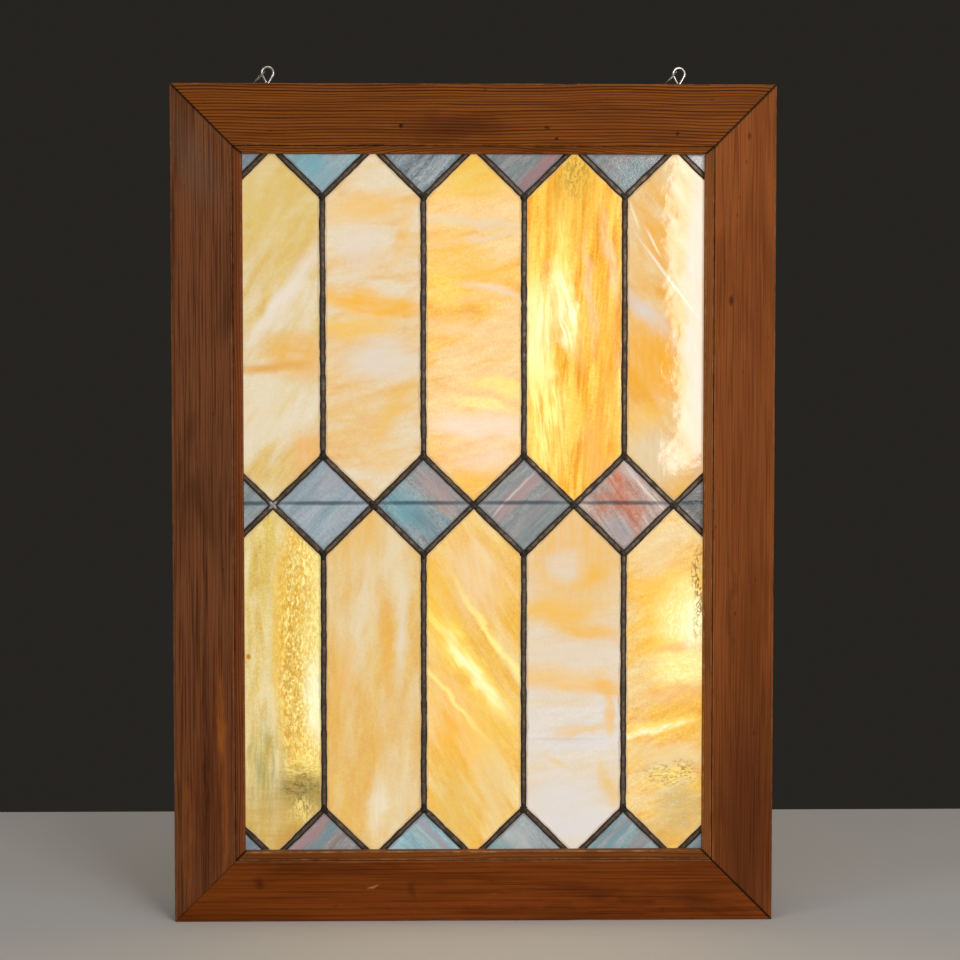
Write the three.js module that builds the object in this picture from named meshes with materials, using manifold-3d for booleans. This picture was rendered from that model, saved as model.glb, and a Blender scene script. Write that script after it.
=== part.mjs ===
// Stained glass window. A mitred wooden frame holds a leaded panel of amber and blue opalescent
// glass, kept in by four loose wooden stops, and hangs from two screw eyes.
// Millimetres, +X to the right, +Y to the back, +Z up.
// The origin lies midway between the holes of the two screw eyes.

import * as THREE from 'three';
import { mergeVertices } from 'three/addons/utils/BufferGeometryUtils.js';
import Module from 'manifold-3d';

const wasm = await Module();
wasm.setup();

// ---------------------------------------------------------------- driving dimensions

const frame = {
  width: 632,
  height: 880,
  depth: 35,
  face: 64, // width of each rail as seen from the front
  lip: 7.5, // ledge behind the glass
  lipDepth: 13.5,
  arris: 1.2, // eased outer corners
  mitreGap: 0.4, // each side of an opened mitre
};

const stop = {
  sideWidth: 9.8,
  sillWidth: 9.8,
  headWidth: 7.8,
  setBack: 3.5, // from the frame's face to the stop's face
  depth: 11,
  innerBevel: 1.6,
  play: 0.4,
};

const panel = {
  pitch: 106, // between two upright lead lines
  rowHeight: 376, // a six-sided pane, tip to tip
  tipHeight: 52, // from its shoulder to its tip
  columns: 5,
  play: 0.5, // around the panel in its rebate
};

const came = {
  width: 6.3,
  crownWidth: 3.4,
  heart: 1.5, // wall between two panes
  channel: 3.6, // slot that takes the glass
  thickness: 6.2,
};

const glass = {
  thickness: 3,
  play: 0.45, // between a pane's edge and the heart of the came
};

const solder = {
  radius: 5.2,
  crownRadius: 2.4,
  height: 0.6, // above the crown of the came
  sides: 8,
};

const bar = {
  height: 3.2,
  depth: 8,
  rise: 2.4, // above the line of the crossings
  endPlay: 0.6,
};

const eye = {
  inset: 100.5, // from the side of the frame
  rise: 13, // centre of the ring above the wood
  ringRadius: 6,
  wireRadius: 1.2,
  shankDepth: 16, // in the wood
  holePlay: 0.4,
};

const ring = {
  radius: 8.5,
  wireRadius: 0.8,
  threadedAt: 3.55, // from the middle of the eye
  threadedAngle: THREE.MathUtils.degToRad(150),
  slope: THREE.MathUtils.degToRad(49),
  leftTilt: THREE.MathUtils.degToRad(14),
  rightTilt: THREE.MathUtils.degToRad(4),
};

const clearance = 0.3;

// ---------------------------------------------------------------- materials

function material(color, roughness, metalness) {
  return new THREE.MeshStandardMaterial({ color, roughness, metalness });
}

function glassMaterial(color) {
  return new THREE.MeshStandardMaterial({
    color,
    roughness: 0.2,
    metalness: 0,
    transparent: true,
    opacity: 0.8,
  });
}

const wood = material('#6b3a1c', 0.6, 0);
const stopWood = material('#75472a', 0.6, 0);
const lead = material('#3f3c39', 0.55, 0.8);
const steel = material('#4a4744', 0.6, 0.9);
const zinc = material('#cfd1d2', 0.25, 1);

// ---------------------------------------------------------------- solids

function toSolid(geometry) {
  const bare = geometry.index ? geometry.toNonIndexed() : geometry.clone();
  bare.deleteAttribute('normal');
  bare.deleteAttribute('uv');
  const merged = mergeVertices(bare, 1e-4);
  return new wasm.Manifold(new wasm.Mesh({
    numProp: 3,
    vertProperties: new Float32Array(merged.attributes.position.array),
    triVerts: new Uint32Array(merged.index.array),
  }));
}

function toGeometry(solid) {
  const mesh = solid.getMesh();
  const geometry = new THREE.BufferGeometry();
  geometry.setAttribute('position', new THREE.BufferAttribute(mesh.vertProperties, 3));
  geometry.setIndex(new THREE.BufferAttribute(mesh.triVerts, 1));
  geometry.computeVertexNormals();
  return geometry;
}

function named(name, geometry, look) {
  const mesh = new THREE.Mesh(geometry, look);
  mesh.name = name;
  return mesh;
}

function outline(points) {
  return new THREE.Shape(points.map(([x, y]) => new THREE.Vector2(x, y)));
}

// A straight bar along X. Its section is drawn as [inward, depth], inward counted along +Z from
// its outer edge. Each end is cut back by its own run for every millimetre inward.
function mitredBar(section, length, runAtRight, runAtLeft) {
  const geometry = new THREE.ExtrudeGeometry(outline(section), { depth: 1, bevelEnabled: false });
  const position = geometry.attributes.position;
  for (let i = 0; i < position.count; i++) {
    const inward = position.getX(i);
    const depth = position.getY(i);
    const atRight = position.getZ(i) < 0.5;
    const run = atRight ? runAtRight : runAtLeft;
    const reach = length / 2 - frame.mitreGap - run * inward;
    position.setXYZ(i, atRight ? reach : -reach, depth, inward);
  }
  geometry.computeVertexNormals();
  return geometry;
}

// Carries a bar from the lower edge of a rectangle to one of its four sides.
const sides = {
  bottom: { turn: 0, upright: false },
  left: { turn: Math.PI / 2, upright: true },
  top: { turn: Math.PI, upright: false },
  right: { turn: -Math.PI / 2, upright: true },
};

function onSide(side, mesh, width, height) {
  const holder = new THREE.Group();
  holder.rotation.y = sides[side].turn;
  mesh.position.z = -(sides[side].upright ? width : height) / 2;
  holder.add(mesh);
  return holder;
}

// ---------------------------------------------------------------- frame

const frontY = -frame.depth / 2;
const backY = frame.depth / 2;
const lipY = backY - frame.lipDepth;

function railSection() {
  const a = frame.arris;
  return [
    [0, frontY + a],
    [a, frontY],
    [frame.face - a / 2, frontY],
    [frame.face, frontY + a / 2],
    [frame.face, lipY],
    [frame.face + frame.lip, lipY],
    [frame.face + frame.lip, backY],
    [a, backY],
    [0, backY - a],
  ];
}

function railGeometry(length) {
  return mitredBar(railSection(), length, 1, 1);
}

// The head rail is bored from above for the shanks of the two eyes.
function headRailGeometry() {
  let solid = toSolid(railGeometry(frame.width));
  for (const side of [-1, 1]) {
    const radius = eye.wireRadius + eye.holePlay;
    const boreDepth = eye.shankDepth + eye.holePlay;
    const bore = new THREE.CylinderGeometry(radius, radius, boreDepth + 1, 10);
    bore.rotateX(Math.PI / 2);
    bore.translate(side * (frame.width / 2 - eye.inset), 0, (boreDepth - 1) / 2);
    solid = solid.subtract(toSolid(bore));
  }
  return toGeometry(solid);
}

function frameRails() {
  const group = new THREE.Group();
  const rails = [
    ['top', 'top_rail', headRailGeometry()],
    ['bottom', 'bottom_rail', railGeometry(frame.width)],
    ['left', 'left_stile', railGeometry(frame.height)],
    ['right', 'right_stile', railGeometry(frame.height)],
  ];
  for (const [side, name, geometry] of rails) {
    group.add(onSide(side, named(name, geometry, wood), frame.width, frame.height));
  }
  return group;
}

// ---------------------------------------------------------------- stops

const openingWidth = frame.width - 2 * frame.face;
const openingHeight = frame.height - 2 * frame.face;
const stopFrontY = frontY + stop.setBack;

function stopSection(width) {
  const back = stopFrontY + stop.depth;
  const b = stop.innerBevel;
  return [
    [stop.play, stopFrontY + b / 2],
    [stop.play + b / 2, stopFrontY],
    [width - b, stopFrontY],
    [width, stopFrontY + 1.6 * b],
    [width, back],
    [stop.play, back],
  ];
}

function stopBars() {
  const group = new THREE.Group();
  const across = openingWidth;
  const up = openingHeight;
  const headRun = stop.sideWidth / stop.headWidth;
  const sillRun = stop.sideWidth / stop.sillWidth;
  const bars = [
    ['top', mitredBar(stopSection(stop.headWidth), across, headRun, headRun)],
    ['bottom', mitredBar(stopSection(stop.sillWidth), across, sillRun, sillRun)],
    ['left', mitredBar(stopSection(stop.sideWidth), up, 1 / sillRun, 1 / headRun)],
    ['right', mitredBar(stopSection(stop.sideWidth), up, 1 / headRun, 1 / sillRun)],
  ];
  for (const [side, geometry] of bars) {
    group.add(onSide(side, named(`${side}_stop`, geometry, stopWood), across, up));
  }
  return group;
}

// ---------------------------------------------------------------- leaded panel

// The panel lies between the stops and the lip. Its lead lines are drawn around its middle.
const stopBackY = stopFrontY + stop.depth;
const panelY = (stopBackY + lipY) / 2;
const panelWidth = openingWidth - 2 * panel.play;
const panelHeight = openingHeight - 2 * panel.play;
const borderX = panelWidth / 2 - came.width / 2;
const borderZ = panelHeight / 2 - came.width / 2;
const halfPitch = panel.pitch / 2;

// Diamonds stand on three lines: across the middle, and on the tips of the outer panes, where
// the border cuts them to triangles. The first and last of each line are cut by the sides too.
function centred(count) {
  return Array.from({ length: count }, (_, i) => (i - (count - 1) / 2) * panel.pitch);
}

const diamondColumns = centred(panel.columns + 1);
const diamondRows = [
  ['top', panel.rowHeight],
  ['middle', 0],
  ['bottom', -panel.rowHeight],
];
const paneColumns = centred(panel.columns);
const paneRows = [
  ['upper', panel.rowHeight / 2],
  ['lower', -panel.rowHeight / 2],
];

// The came's section, an H lying on its side, as [across, depth].
function cameSection() {
  const w = came.width / 2;
  const c = came.crownWidth / 2;
  const h = came.heart / 2;
  const slot = came.channel / 2;
  const top = came.thickness / 2;
  const right = [[h, -slot], [h, slot], [w, slot], [c, top]];
  const left = right.map(([x, y]) => [-x, y]).reverse();
  return [[c, -top], [w, -slot], ...right, ...left, [-w, -slot], [-c, -top]];
}

function cameBeam(from, to) {
  const along = new THREE.Vector3(to[0] - from[0], 0, to[1] - from[1]);
  const length = along.length();
  along.normalize();
  const across = new THREE.Vector3(along.z, 0, -along.x);
  const depth = new THREE.Vector3(0, 1, 0);
  const place = new THREE.Matrix4().makeBasis(across, depth, along);
  place.setPosition(from[0], 0, from[1]);
  const beam = new THREE.ExtrudeGeometry(outline(cameSection()), { depth: length, bevelEnabled: false });
  return toSolid(beam.applyMatrix4(place));
}

function diamondCorners(x, z) {
  return {
    left: [x - halfPitch, z],
    top: [x, z + panel.tipHeight],
    right: [x + halfPitch, z],
    bottom: [x, z - panel.tipHeight],
  };
}

function leadLines() {
  const lines = [];
  for (const [, z] of diamondRows) {
    for (const x of diamondColumns) {
      const corner = diamondCorners(x, z);
      lines.push([corner.left, corner.top], [corner.top, corner.right]);
      lines.push([corner.right, corner.bottom], [corner.bottom, corner.left]);
    }
  }
  const shoulder = panel.rowHeight / 2 - panel.tipHeight;
  for (const [, z] of paneRows) {
    for (const x of diamondColumns.slice(1, -1)) {
      lines.push([[x, z - shoulder], [x, z + shoulder]]);
    }
  }
  return lines.filter((line) => line.some(([x, z]) => Math.abs(x) < borderX && Math.abs(z) < borderZ));
}

function solderedJoints() {
  const joints = new Map();
  for (const line of leadLines()) {
    for (const [x, z] of line) {
      const inside = Math.abs(x) < borderX - came.width && Math.abs(z) < borderZ - came.width;
      if (inside) joints.set(`${x},${z}`, [x, z]);
    }
  }
  return [...joints.values()];
}

function solderDrop([x, z], facing) {
  const base = came.channel / 2;
  const crown = came.thickness / 2 + solder.height;
  const profile = [[0, base], [solder.radius, base], [solder.crownRadius, crown], [0, crown]];
  const points = profile.map(([r, y]) => new THREE.Vector2(r, y));
  const drop = new THREE.LatheGeometry(points, solder.sides);
  if (facing < 0) drop.rotateX(Math.PI);
  drop.translate(x, 0, z);
  return toSolid(drop);
}

function leadGeometry() {
  const [first, ...others] = leadLines();
  let solid = cameBeam(...first);
  for (const line of others) solid = solid.add(cameBeam(...line));
  for (const joint of solderedJoints()) {
    solid = solid.add(solderDrop(joint, -1)).add(solderDrop(joint, 1));
  }
  const trim = new THREE.BoxGeometry(2 * borderX, 2 * came.thickness, 2 * borderZ);
  solid = solid.intersect(toSolid(trim));
  const corner = [[-borderX, -borderZ], [borderX, -borderZ], [borderX, borderZ], [-borderX, borderZ]];
  const reach = came.width / 2;
  corner.forEach((from, i) => {
    const to = corner[(i + 1) % 4];
    const along = [Math.sign(to[0] - from[0]) * reach, Math.sign(to[1] - from[1]) * reach];
    const start = [from[0] - along[0], from[1] - along[1]];
    const end = [to[0] + along[0], to[1] + along[1]];
    solid = solid.add(cameBeam(start, end));
  });
  return toGeometry(solid);
}

// Keeps the part of a convex outline where point . normal <= limit.
function cutOutline(points, [nx, nz], limit) {
  const kept = [];
  points.forEach((here, i) => {
    const next = points[(i + 1) % points.length];
    const a = here[0] * nx + here[1] * nz - limit;
    const b = next[0] * nx + next[1] * nz - limit;
    if (a <= 0) kept.push(here);
    if (a * b < 0) {
      const t = a / (a - b);
      kept.push([here[0] + t * (next[0] - here[0]), here[1] + t * (next[1] - here[1])]);
    }
  });
  return kept;
}

// A pane is what the cames around it leave: the panel cut by the heart of each came.
const edgeInset = came.heart / 2 + glass.play;
const slant = Math.hypot(panel.tipHeight, halfPitch);
const slantNormal = [panel.tipHeight / slant, halfPitch / slant];

function paneOutline(x, z, slantReach, uprightReach) {
  const w = borderX - edgeInset;
  const h = borderZ - edgeInset;
  let points = [[-w, -h], [w, -h], [w, h], [-w, h]];
  for (const sx of [-1, 1]) {
    for (const sz of [-1, 1]) {
      const normal = [sx * slantNormal[0], sz * slantNormal[1]];
      const middle = x * normal[0] + z * normal[1];
      points = cutOutline(points, normal, middle + slantReach * slantNormal[1] - edgeInset);
    }
    if (uprightReach) points = cutOutline(points, [sx, 0], sx * x + uprightReach - edgeInset);
  }
  return points;
}

function paneGeometry(points) {
  const pane = new THREE.ExtrudeGeometry(outline(points), { depth: glass.thickness, bevelEnabled: false });
  pane.rotateX(Math.PI / 2);
  pane.translate(0, glass.thickness / 2, 0);
  return pane;
}

const amberColors = {
  upper: ['#e9d29a', '#efd9ae', '#f2d7ac', '#f0b545', '#f3e0c4'],
  lower: ['#d9bf6c', '#ecd39a', '#f0c878', '#f3e6cd', '#e8c468'],
};
const blueColors = {
  top: ['#8b99a6', '#8fb0b8', '#8f97a0', '#8ea0a8', '#98989f', '#cfc7c8'],
  middle: ['#6f878c', '#a9b9c0', '#7f929b', '#8e919c', '#b08c8a', '#5f777d'],
  bottom: ['#7f8c98', '#9a8f9c', '#a5bfc3', '#b3bfc4', '#9aa4ae', '#8c9ba0'],
};

function glassPanes() {
  const group = new THREE.Group();
  for (const [row, z] of paneRows) {
    paneColumns.forEach((x, i) => {
      const points = paneOutline(x, z, panel.rowHeight / 2, halfPitch);
      const look = glassMaterial(amberColors[row][i]);
      group.add(named(`amber_pane_${row}_${i + 1}`, paneGeometry(points), look));
    });
  }
  for (const [row, z] of diamondRows) {
    diamondColumns.forEach((x, i) => {
      const points = paneOutline(x, z, panel.tipHeight, 0);
      const look = glassMaterial(blueColors[row][i]);
      group.add(named(`blue_pane_${row}_${i + 1}`, paneGeometry(points), look));
    });
  }
  return group;
}

// A steel bar lies on edge behind the row of diamonds and stiffens the panel.
function saddleBar() {
  const length = openingWidth - 2 * (frame.lip + bar.endPlay);
  const shape = outline([
    [-bar.height / 2, 0],
    [bar.height / 2, 0],
    [bar.height / 2, bar.depth - bar.height / 4],
    [bar.height / 4, bar.depth],
    [-bar.height / 4, bar.depth],
    [-bar.height / 2, bar.depth - bar.height / 4],
  ]);
  const geometry = new THREE.ExtrudeGeometry(shape, { depth: length, bevelEnabled: false });
  const place = new THREE.Matrix4().makeBasis(
    new THREE.Vector3(0, 0, -1),
    new THREE.Vector3(0, 1, 0),
    new THREE.Vector3(1, 0, 0),
  );
  const behind = came.thickness / 2 + solder.height + clearance;
  place.setPosition(-length / 2, behind, bar.rise);
  return named('saddle_bar', geometry.applyMatrix4(place), steel);
}

function leadedPanel() {
  const group = new THREE.Group();
  group.position.y = panelY;
  group.add(named('lead_came', leadGeometry(), lead));
  group.add(glassPanes());
  group.add(saddleBar());
  return group;
}

// ---------------------------------------------------------------- screw eyes and hanging rings

function screwEyeGeometry() {
  const loop = new THREE.TorusGeometry(eye.ringRadius, eye.wireRadius, 8, 24);
  loop.rotateX(Math.PI / 2);
  const shankTop = -eye.ringRadius;
  const shankTip = -eye.rise - eye.shankDepth;
  const r = eye.wireRadius;
  const profile = [[0, shankTip], [r, shankTip + 2 * r], [r, shankTop], [0, shankTop]];
  const shank = new THREE.LatheGeometry(profile.map(([x, y]) => new THREE.Vector2(x, y)), 8);
  shank.rotateX(Math.PI / 2);
  return toGeometry(toSolid(loop).add(toSolid(shank)));
}

// A thin wire ring runs through each eye and leans to the left until it rests on the wood.
function hangingRing(name, tilt) {
  const mesh = named(name, new THREE.TorusGeometry(ring.radius, ring.wireRadius, 6, 28), zinc);
  mesh.rotation.order = 'YXZ';
  mesh.rotation.set(tilt, -ring.slope, 0);
  const throughX = ring.threadedAt * Math.cos(ring.threadedAngle);
  const throughZ = ring.threadedAt * Math.sin(ring.threadedAngle);
  mesh.position.x = throughX - ring.radius * Math.cos(ring.slope);
  mesh.position.z = throughZ - ring.radius * Math.sin(ring.slope);
  return mesh;
}

function hangers() {
  const group = new THREE.Group();
  const sets = [
    ['left', -1, ring.leftTilt],
    ['right', 1, ring.rightTilt],
  ];
  for (const [name, side, tilt] of sets) {
    const hanger = new THREE.Group();
    hanger.position.x = side * (frame.width / 2 - eye.inset);
    hanger.add(named(`screw_eye_${name}`, screwEyeGeometry(), zinc));
    hanger.add(hangingRing(`hanging_ring_${name}`, tilt));
    group.add(hanger);
  }
  return group;
}

// ---------------------------------------------------------------- whole window

const sash = new THREE.Group();
sash.position.z = -eye.rise - frame.height / 2;
sash.add(frameRails(), stopBars(), leadedPanel());

const stainedGlassWindow = new THREE.Group();
stainedGlassWindow.add(sash, hangers());

export default stainedGlassWindow;
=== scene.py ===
import math

import bpy
import numpy as np
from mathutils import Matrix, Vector


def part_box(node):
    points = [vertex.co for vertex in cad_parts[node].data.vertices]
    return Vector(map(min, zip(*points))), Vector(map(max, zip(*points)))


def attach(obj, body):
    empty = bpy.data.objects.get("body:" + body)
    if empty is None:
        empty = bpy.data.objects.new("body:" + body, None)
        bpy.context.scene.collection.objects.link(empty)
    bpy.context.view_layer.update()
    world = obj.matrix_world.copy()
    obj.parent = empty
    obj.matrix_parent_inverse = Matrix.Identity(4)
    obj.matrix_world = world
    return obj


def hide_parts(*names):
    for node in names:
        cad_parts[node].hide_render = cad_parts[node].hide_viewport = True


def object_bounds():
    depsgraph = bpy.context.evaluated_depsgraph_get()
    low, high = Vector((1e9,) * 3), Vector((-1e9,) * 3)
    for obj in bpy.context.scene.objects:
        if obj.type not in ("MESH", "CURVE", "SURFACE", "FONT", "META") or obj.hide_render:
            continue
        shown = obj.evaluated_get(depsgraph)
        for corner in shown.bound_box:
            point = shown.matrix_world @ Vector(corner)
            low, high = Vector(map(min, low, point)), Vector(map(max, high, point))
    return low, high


# Stained glass window: mitred wooden frame, four stops, a leaded panel of amber and blue
# opalescent glass, a saddle bar at the back, and two screw eyes with wire rings.
# Metres, +X to the right, +Y to the back, +Z up. The sizes of the window's own pieces are kept
# in mm, and those of the camera, lamps and floor in metres.

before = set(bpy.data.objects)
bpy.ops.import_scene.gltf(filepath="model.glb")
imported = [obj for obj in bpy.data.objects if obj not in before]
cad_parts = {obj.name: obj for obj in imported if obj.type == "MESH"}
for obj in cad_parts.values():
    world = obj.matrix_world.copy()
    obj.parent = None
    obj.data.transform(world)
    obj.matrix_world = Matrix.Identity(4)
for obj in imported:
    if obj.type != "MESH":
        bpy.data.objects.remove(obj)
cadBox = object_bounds()
mm = 0.001
print("frame loaded:", len(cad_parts), "nodes")


# ---- camera, floor and lights

cameraSetup = {
    "place": (-0.0292, -2.1207, -0.3307),
    "pitchDown": 2.585,
    "turnRight": 0.968,
    "lens": 75.3,
    "sensor": 36.0,
}

# the floor ends behind the window, so that the window can be seen from all sides
stageSetup = {
    "floorColor": (0.72, 0.71, 0.69),
    "halfWidth": 4.0,
    "front": 4.0,
    "behind": 0.54,
    "ambientColor": (1.0, 0.97, 0.94, 1.0),
    "ambient": 0.14,
    "backdropColor": (0.020, 0.018, 0.015, 1.0),
}

# place of the lamp's middle, the point it faces, width and height, radiance and colour
lampSetup = {
    "rightSoftbox": {
        "place": (0.81, -2.12, 0.02),
        "aim": (0.81, 0.0, 0.02),
        "size": (0.74, 1.02),
        "radiance": 8.5,
        "color": (1.0, 0.94, 0.86),
    },
    "leftSoftbox": {
        "place": (-2.1, -1.7, 0.9),
        "aim": (0.0, 0.0, -0.45),
        "size": (0.9, 1.2),
        "radiance": 1.95,
        "color": (1.0, 0.95, 0.90),
    },
    "overheadSoftbox": {
        "place": (0.1, -0.9, 1.7),
        "aim": (0.0, 0.0, -0.3),
        "size": (1.6, 1.0),
        "radiance": 2.15,
        "color": (1.0, 0.97, 0.93),
    },
}


def addObject(name, data):
    made = bpy.data.objects.new(name, data)
    bpy.context.scene.collection.objects.link(made)
    return made


def makeCamera(setup):
    data = bpy.data.cameras.new("viewCamera")
    data.lens = setup["lens"]
    data.sensor_width = setup["sensor"]
    data.clip_start = 0.05
    camera = addObject("viewCamera", data)
    camera.location = setup["place"]
    pitch = math.radians(90 - setup["pitchDown"])
    camera.rotation_euler = (pitch, 0.0, -math.radians(setup["turnRight"]))
    bpy.context.scene.camera = camera


def makeLamps(setup):
    for name, lamp in setup.items():
        data = bpy.data.lights.new(name, "AREA")
        data.shape = "RECTANGLE"
        data.size, data.size_y = lamp["size"]
        data.energy = lamp["radiance"] * math.pi * data.size * data.size_y
        data.color = lamp["color"]
        light = addObject(name, data)
        light.location = lamp["place"]
        facing = Vector(lamp["aim"]) - Vector(lamp["place"])
        light.rotation_euler = facing.to_track_quat("-Z", "Y").to_euler()
        light.visible_camera = False


# ---- node helpers

def linear(hexColor):
    # "#RRGGBB" as seen on screen to a scene-linear colour
    parts = [int(hexColor[i:i + 2], 16) / 255 for i in (1, 3, 5)]
    return tuple(c / 12.92 if c <= 0.04045 else ((c + 0.055) / 1.055) ** 2.4 for c in parts) + (1.0,)


def setSocket(tree, socket, value):
    if isinstance(value, bpy.types.NodeSocket):
        tree.links.new(value, socket)
    elif isinstance(value, str):
        socket.default_value = linear(value)
    else:
        socket.default_value = value


def addNode(tree, kind, inputs=None, **settings):
    made = tree.nodes.new(kind)
    made.location = (190 * (len(tree.nodes) % 12), -240 * (len(tree.nodes) // 12))
    for key, value in settings.items():
        setattr(made, key, value)
    for key, value in (inputs or {}).items():
        setSocket(tree, made.inputs[key], value)
    return made


def calc(tree, operation, a, b=0.0, c=0.0, clamp=False):
    return addNode(tree, "ShaderNodeMath", {0: a, 1: b, 2: c}, operation=operation,
                   use_clamp=clamp).outputs[0]


def vectorCalc(tree, operation, a, b):
    return addNode(tree, "ShaderNodeVectorMath", {0: a, 1: b}, operation=operation).outputs[0]


def scaled(tree, vector, amount):
    values = {0: vector, "Scale": amount}
    return addNode(tree, "ShaderNodeVectorMath", values, operation="SCALE").outputs[0]


def combined(tree, *parts):
    return addNode(tree, "ShaderNodeCombineXYZ", dict(enumerate(parts))).outputs[0]


def separated(tree, vector):
    return addNode(tree, "ShaderNodeSeparateXYZ", {0: vector}).outputs


def mixColors(tree, factor, a, b, blend="MIX"):
    made = addNode(tree, "ShaderNodeMix", {"Factor": factor, 6: a, 7: b}, data_type="RGBA",
                   blend_type=blend)
    return made.outputs[2]


def noiseOf(tree, vector, scale, detail, roughness=0.5, distortion=0.0):
    values = {"Vector": vector, "Scale": scale, "Detail": detail, "Roughness": roughness,
              "Distortion": distortion}
    return addNode(tree, "ShaderNodeTexNoise", values).outputs["Fac"]


def remap(tree, value, fromMin, fromMax, toMin=0.0, toMax=1.0):
    values = {"Value": value, "From Min": fromMin, "From Max": fromMax, "To Min": toMin,
              "To Max": toMax}
    made = addNode(tree, "ShaderNodeMapRange", values, interpolation_type="SMOOTHSTEP")
    return made.outputs["Result"]


def warped(tree, coords, scale, amount, detail=2.0):
    # coordinates pushed about by noise
    values = {"Vector": coords, "Scale": scale, "Detail": detail, "Roughness": 0.55}
    push = addNode(tree, "ShaderNodeTexNoise", values).outputs["Color"]
    push = vectorCalc(tree, "SUBTRACT", push, (0.5, 0.5, 0.5))
    return vectorCalc(tree, "ADD", coords, scaled(tree, push, amount))


socketKinds = {"color": "NodeSocketColor", "vector": "NodeSocketVector", "value": "NodeSocketFloat"}


def newGroup(name, inputs, outputs):
    tree = bpy.data.node_groups.new(name, "ShaderNodeTree")
    for label, kind, default in inputs:
        socket = tree.interface.new_socket(name=label, in_out="INPUT", socket_type=socketKinds[kind])
        if default is not None:
            socket.default_value = linear(default) if kind == "color" else default
    for label, kind in outputs:
        tree.interface.new_socket(name=label, in_out="OUTPUT", socket_type=socketKinds[kind])
    entry = addNode(tree, "NodeGroupInput").outputs
    leave = addNode(tree, "NodeGroupOutput").inputs
    return tree, entry, leave


def socketLabel(key):
    # "ringSpacing" is the socket "Ring Spacing"
    return "".join(" " + c if c.isupper() else c for c in key).title()


def useGroup(tree, group, **values):
    made = addNode(tree, "ShaderNodeGroup", node_tree=bpy.data.node_groups[group])
    for key, value in values.items():
        setSocket(tree, made.inputs[socketLabel(key)], value)
    return made.outputs


def newMaterial(name):
    made = bpy.data.materials.new(name)
    made.use_nodes = True
    tree = made.node_tree
    tree.nodes.clear()
    shader = addNode(tree, "ShaderNodeBsdfPrincipled")
    output = addNode(tree, "ShaderNodeOutputMaterial")
    tree.links.new(shader.outputs[0], output.inputs["Surface"])
    return made, tree, shader


def setShader(tree, shader, **values):
    for key, value in values.items():
        label = {"ior": "IOR", "specular": "Specular IOR Level"}.get(key, socketLabel(key))
        setSocket(tree, shader.inputs[label], value)


def bumpOf(tree, height, distance, strength):
    values = {"Height": height, "Distance": distance, "Strength": strength}
    return addNode(tree, "ShaderNodeBump", values).outputs["Normal"]


def objectCoords(tree):
    return addNode(tree, "ShaderNodeTexCoord").outputs["Object"]


def turned(tree, vector, angle):
    # turned about Y, in the plane of the window
    values = {"Vector": vector, "Axis": (0.0, 1.0, 0.0), "Angle": angle}
    return addNode(tree, "ShaderNodeVectorRotate", values, rotation_type="AXIS_ANGLE").outputs[0]


def attributeOf(tree, name):
    return addNode(tree, "ShaderNodeAttribute", attribute_name=name).outputs["Fac"]


# ---- shared surface effects

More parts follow.
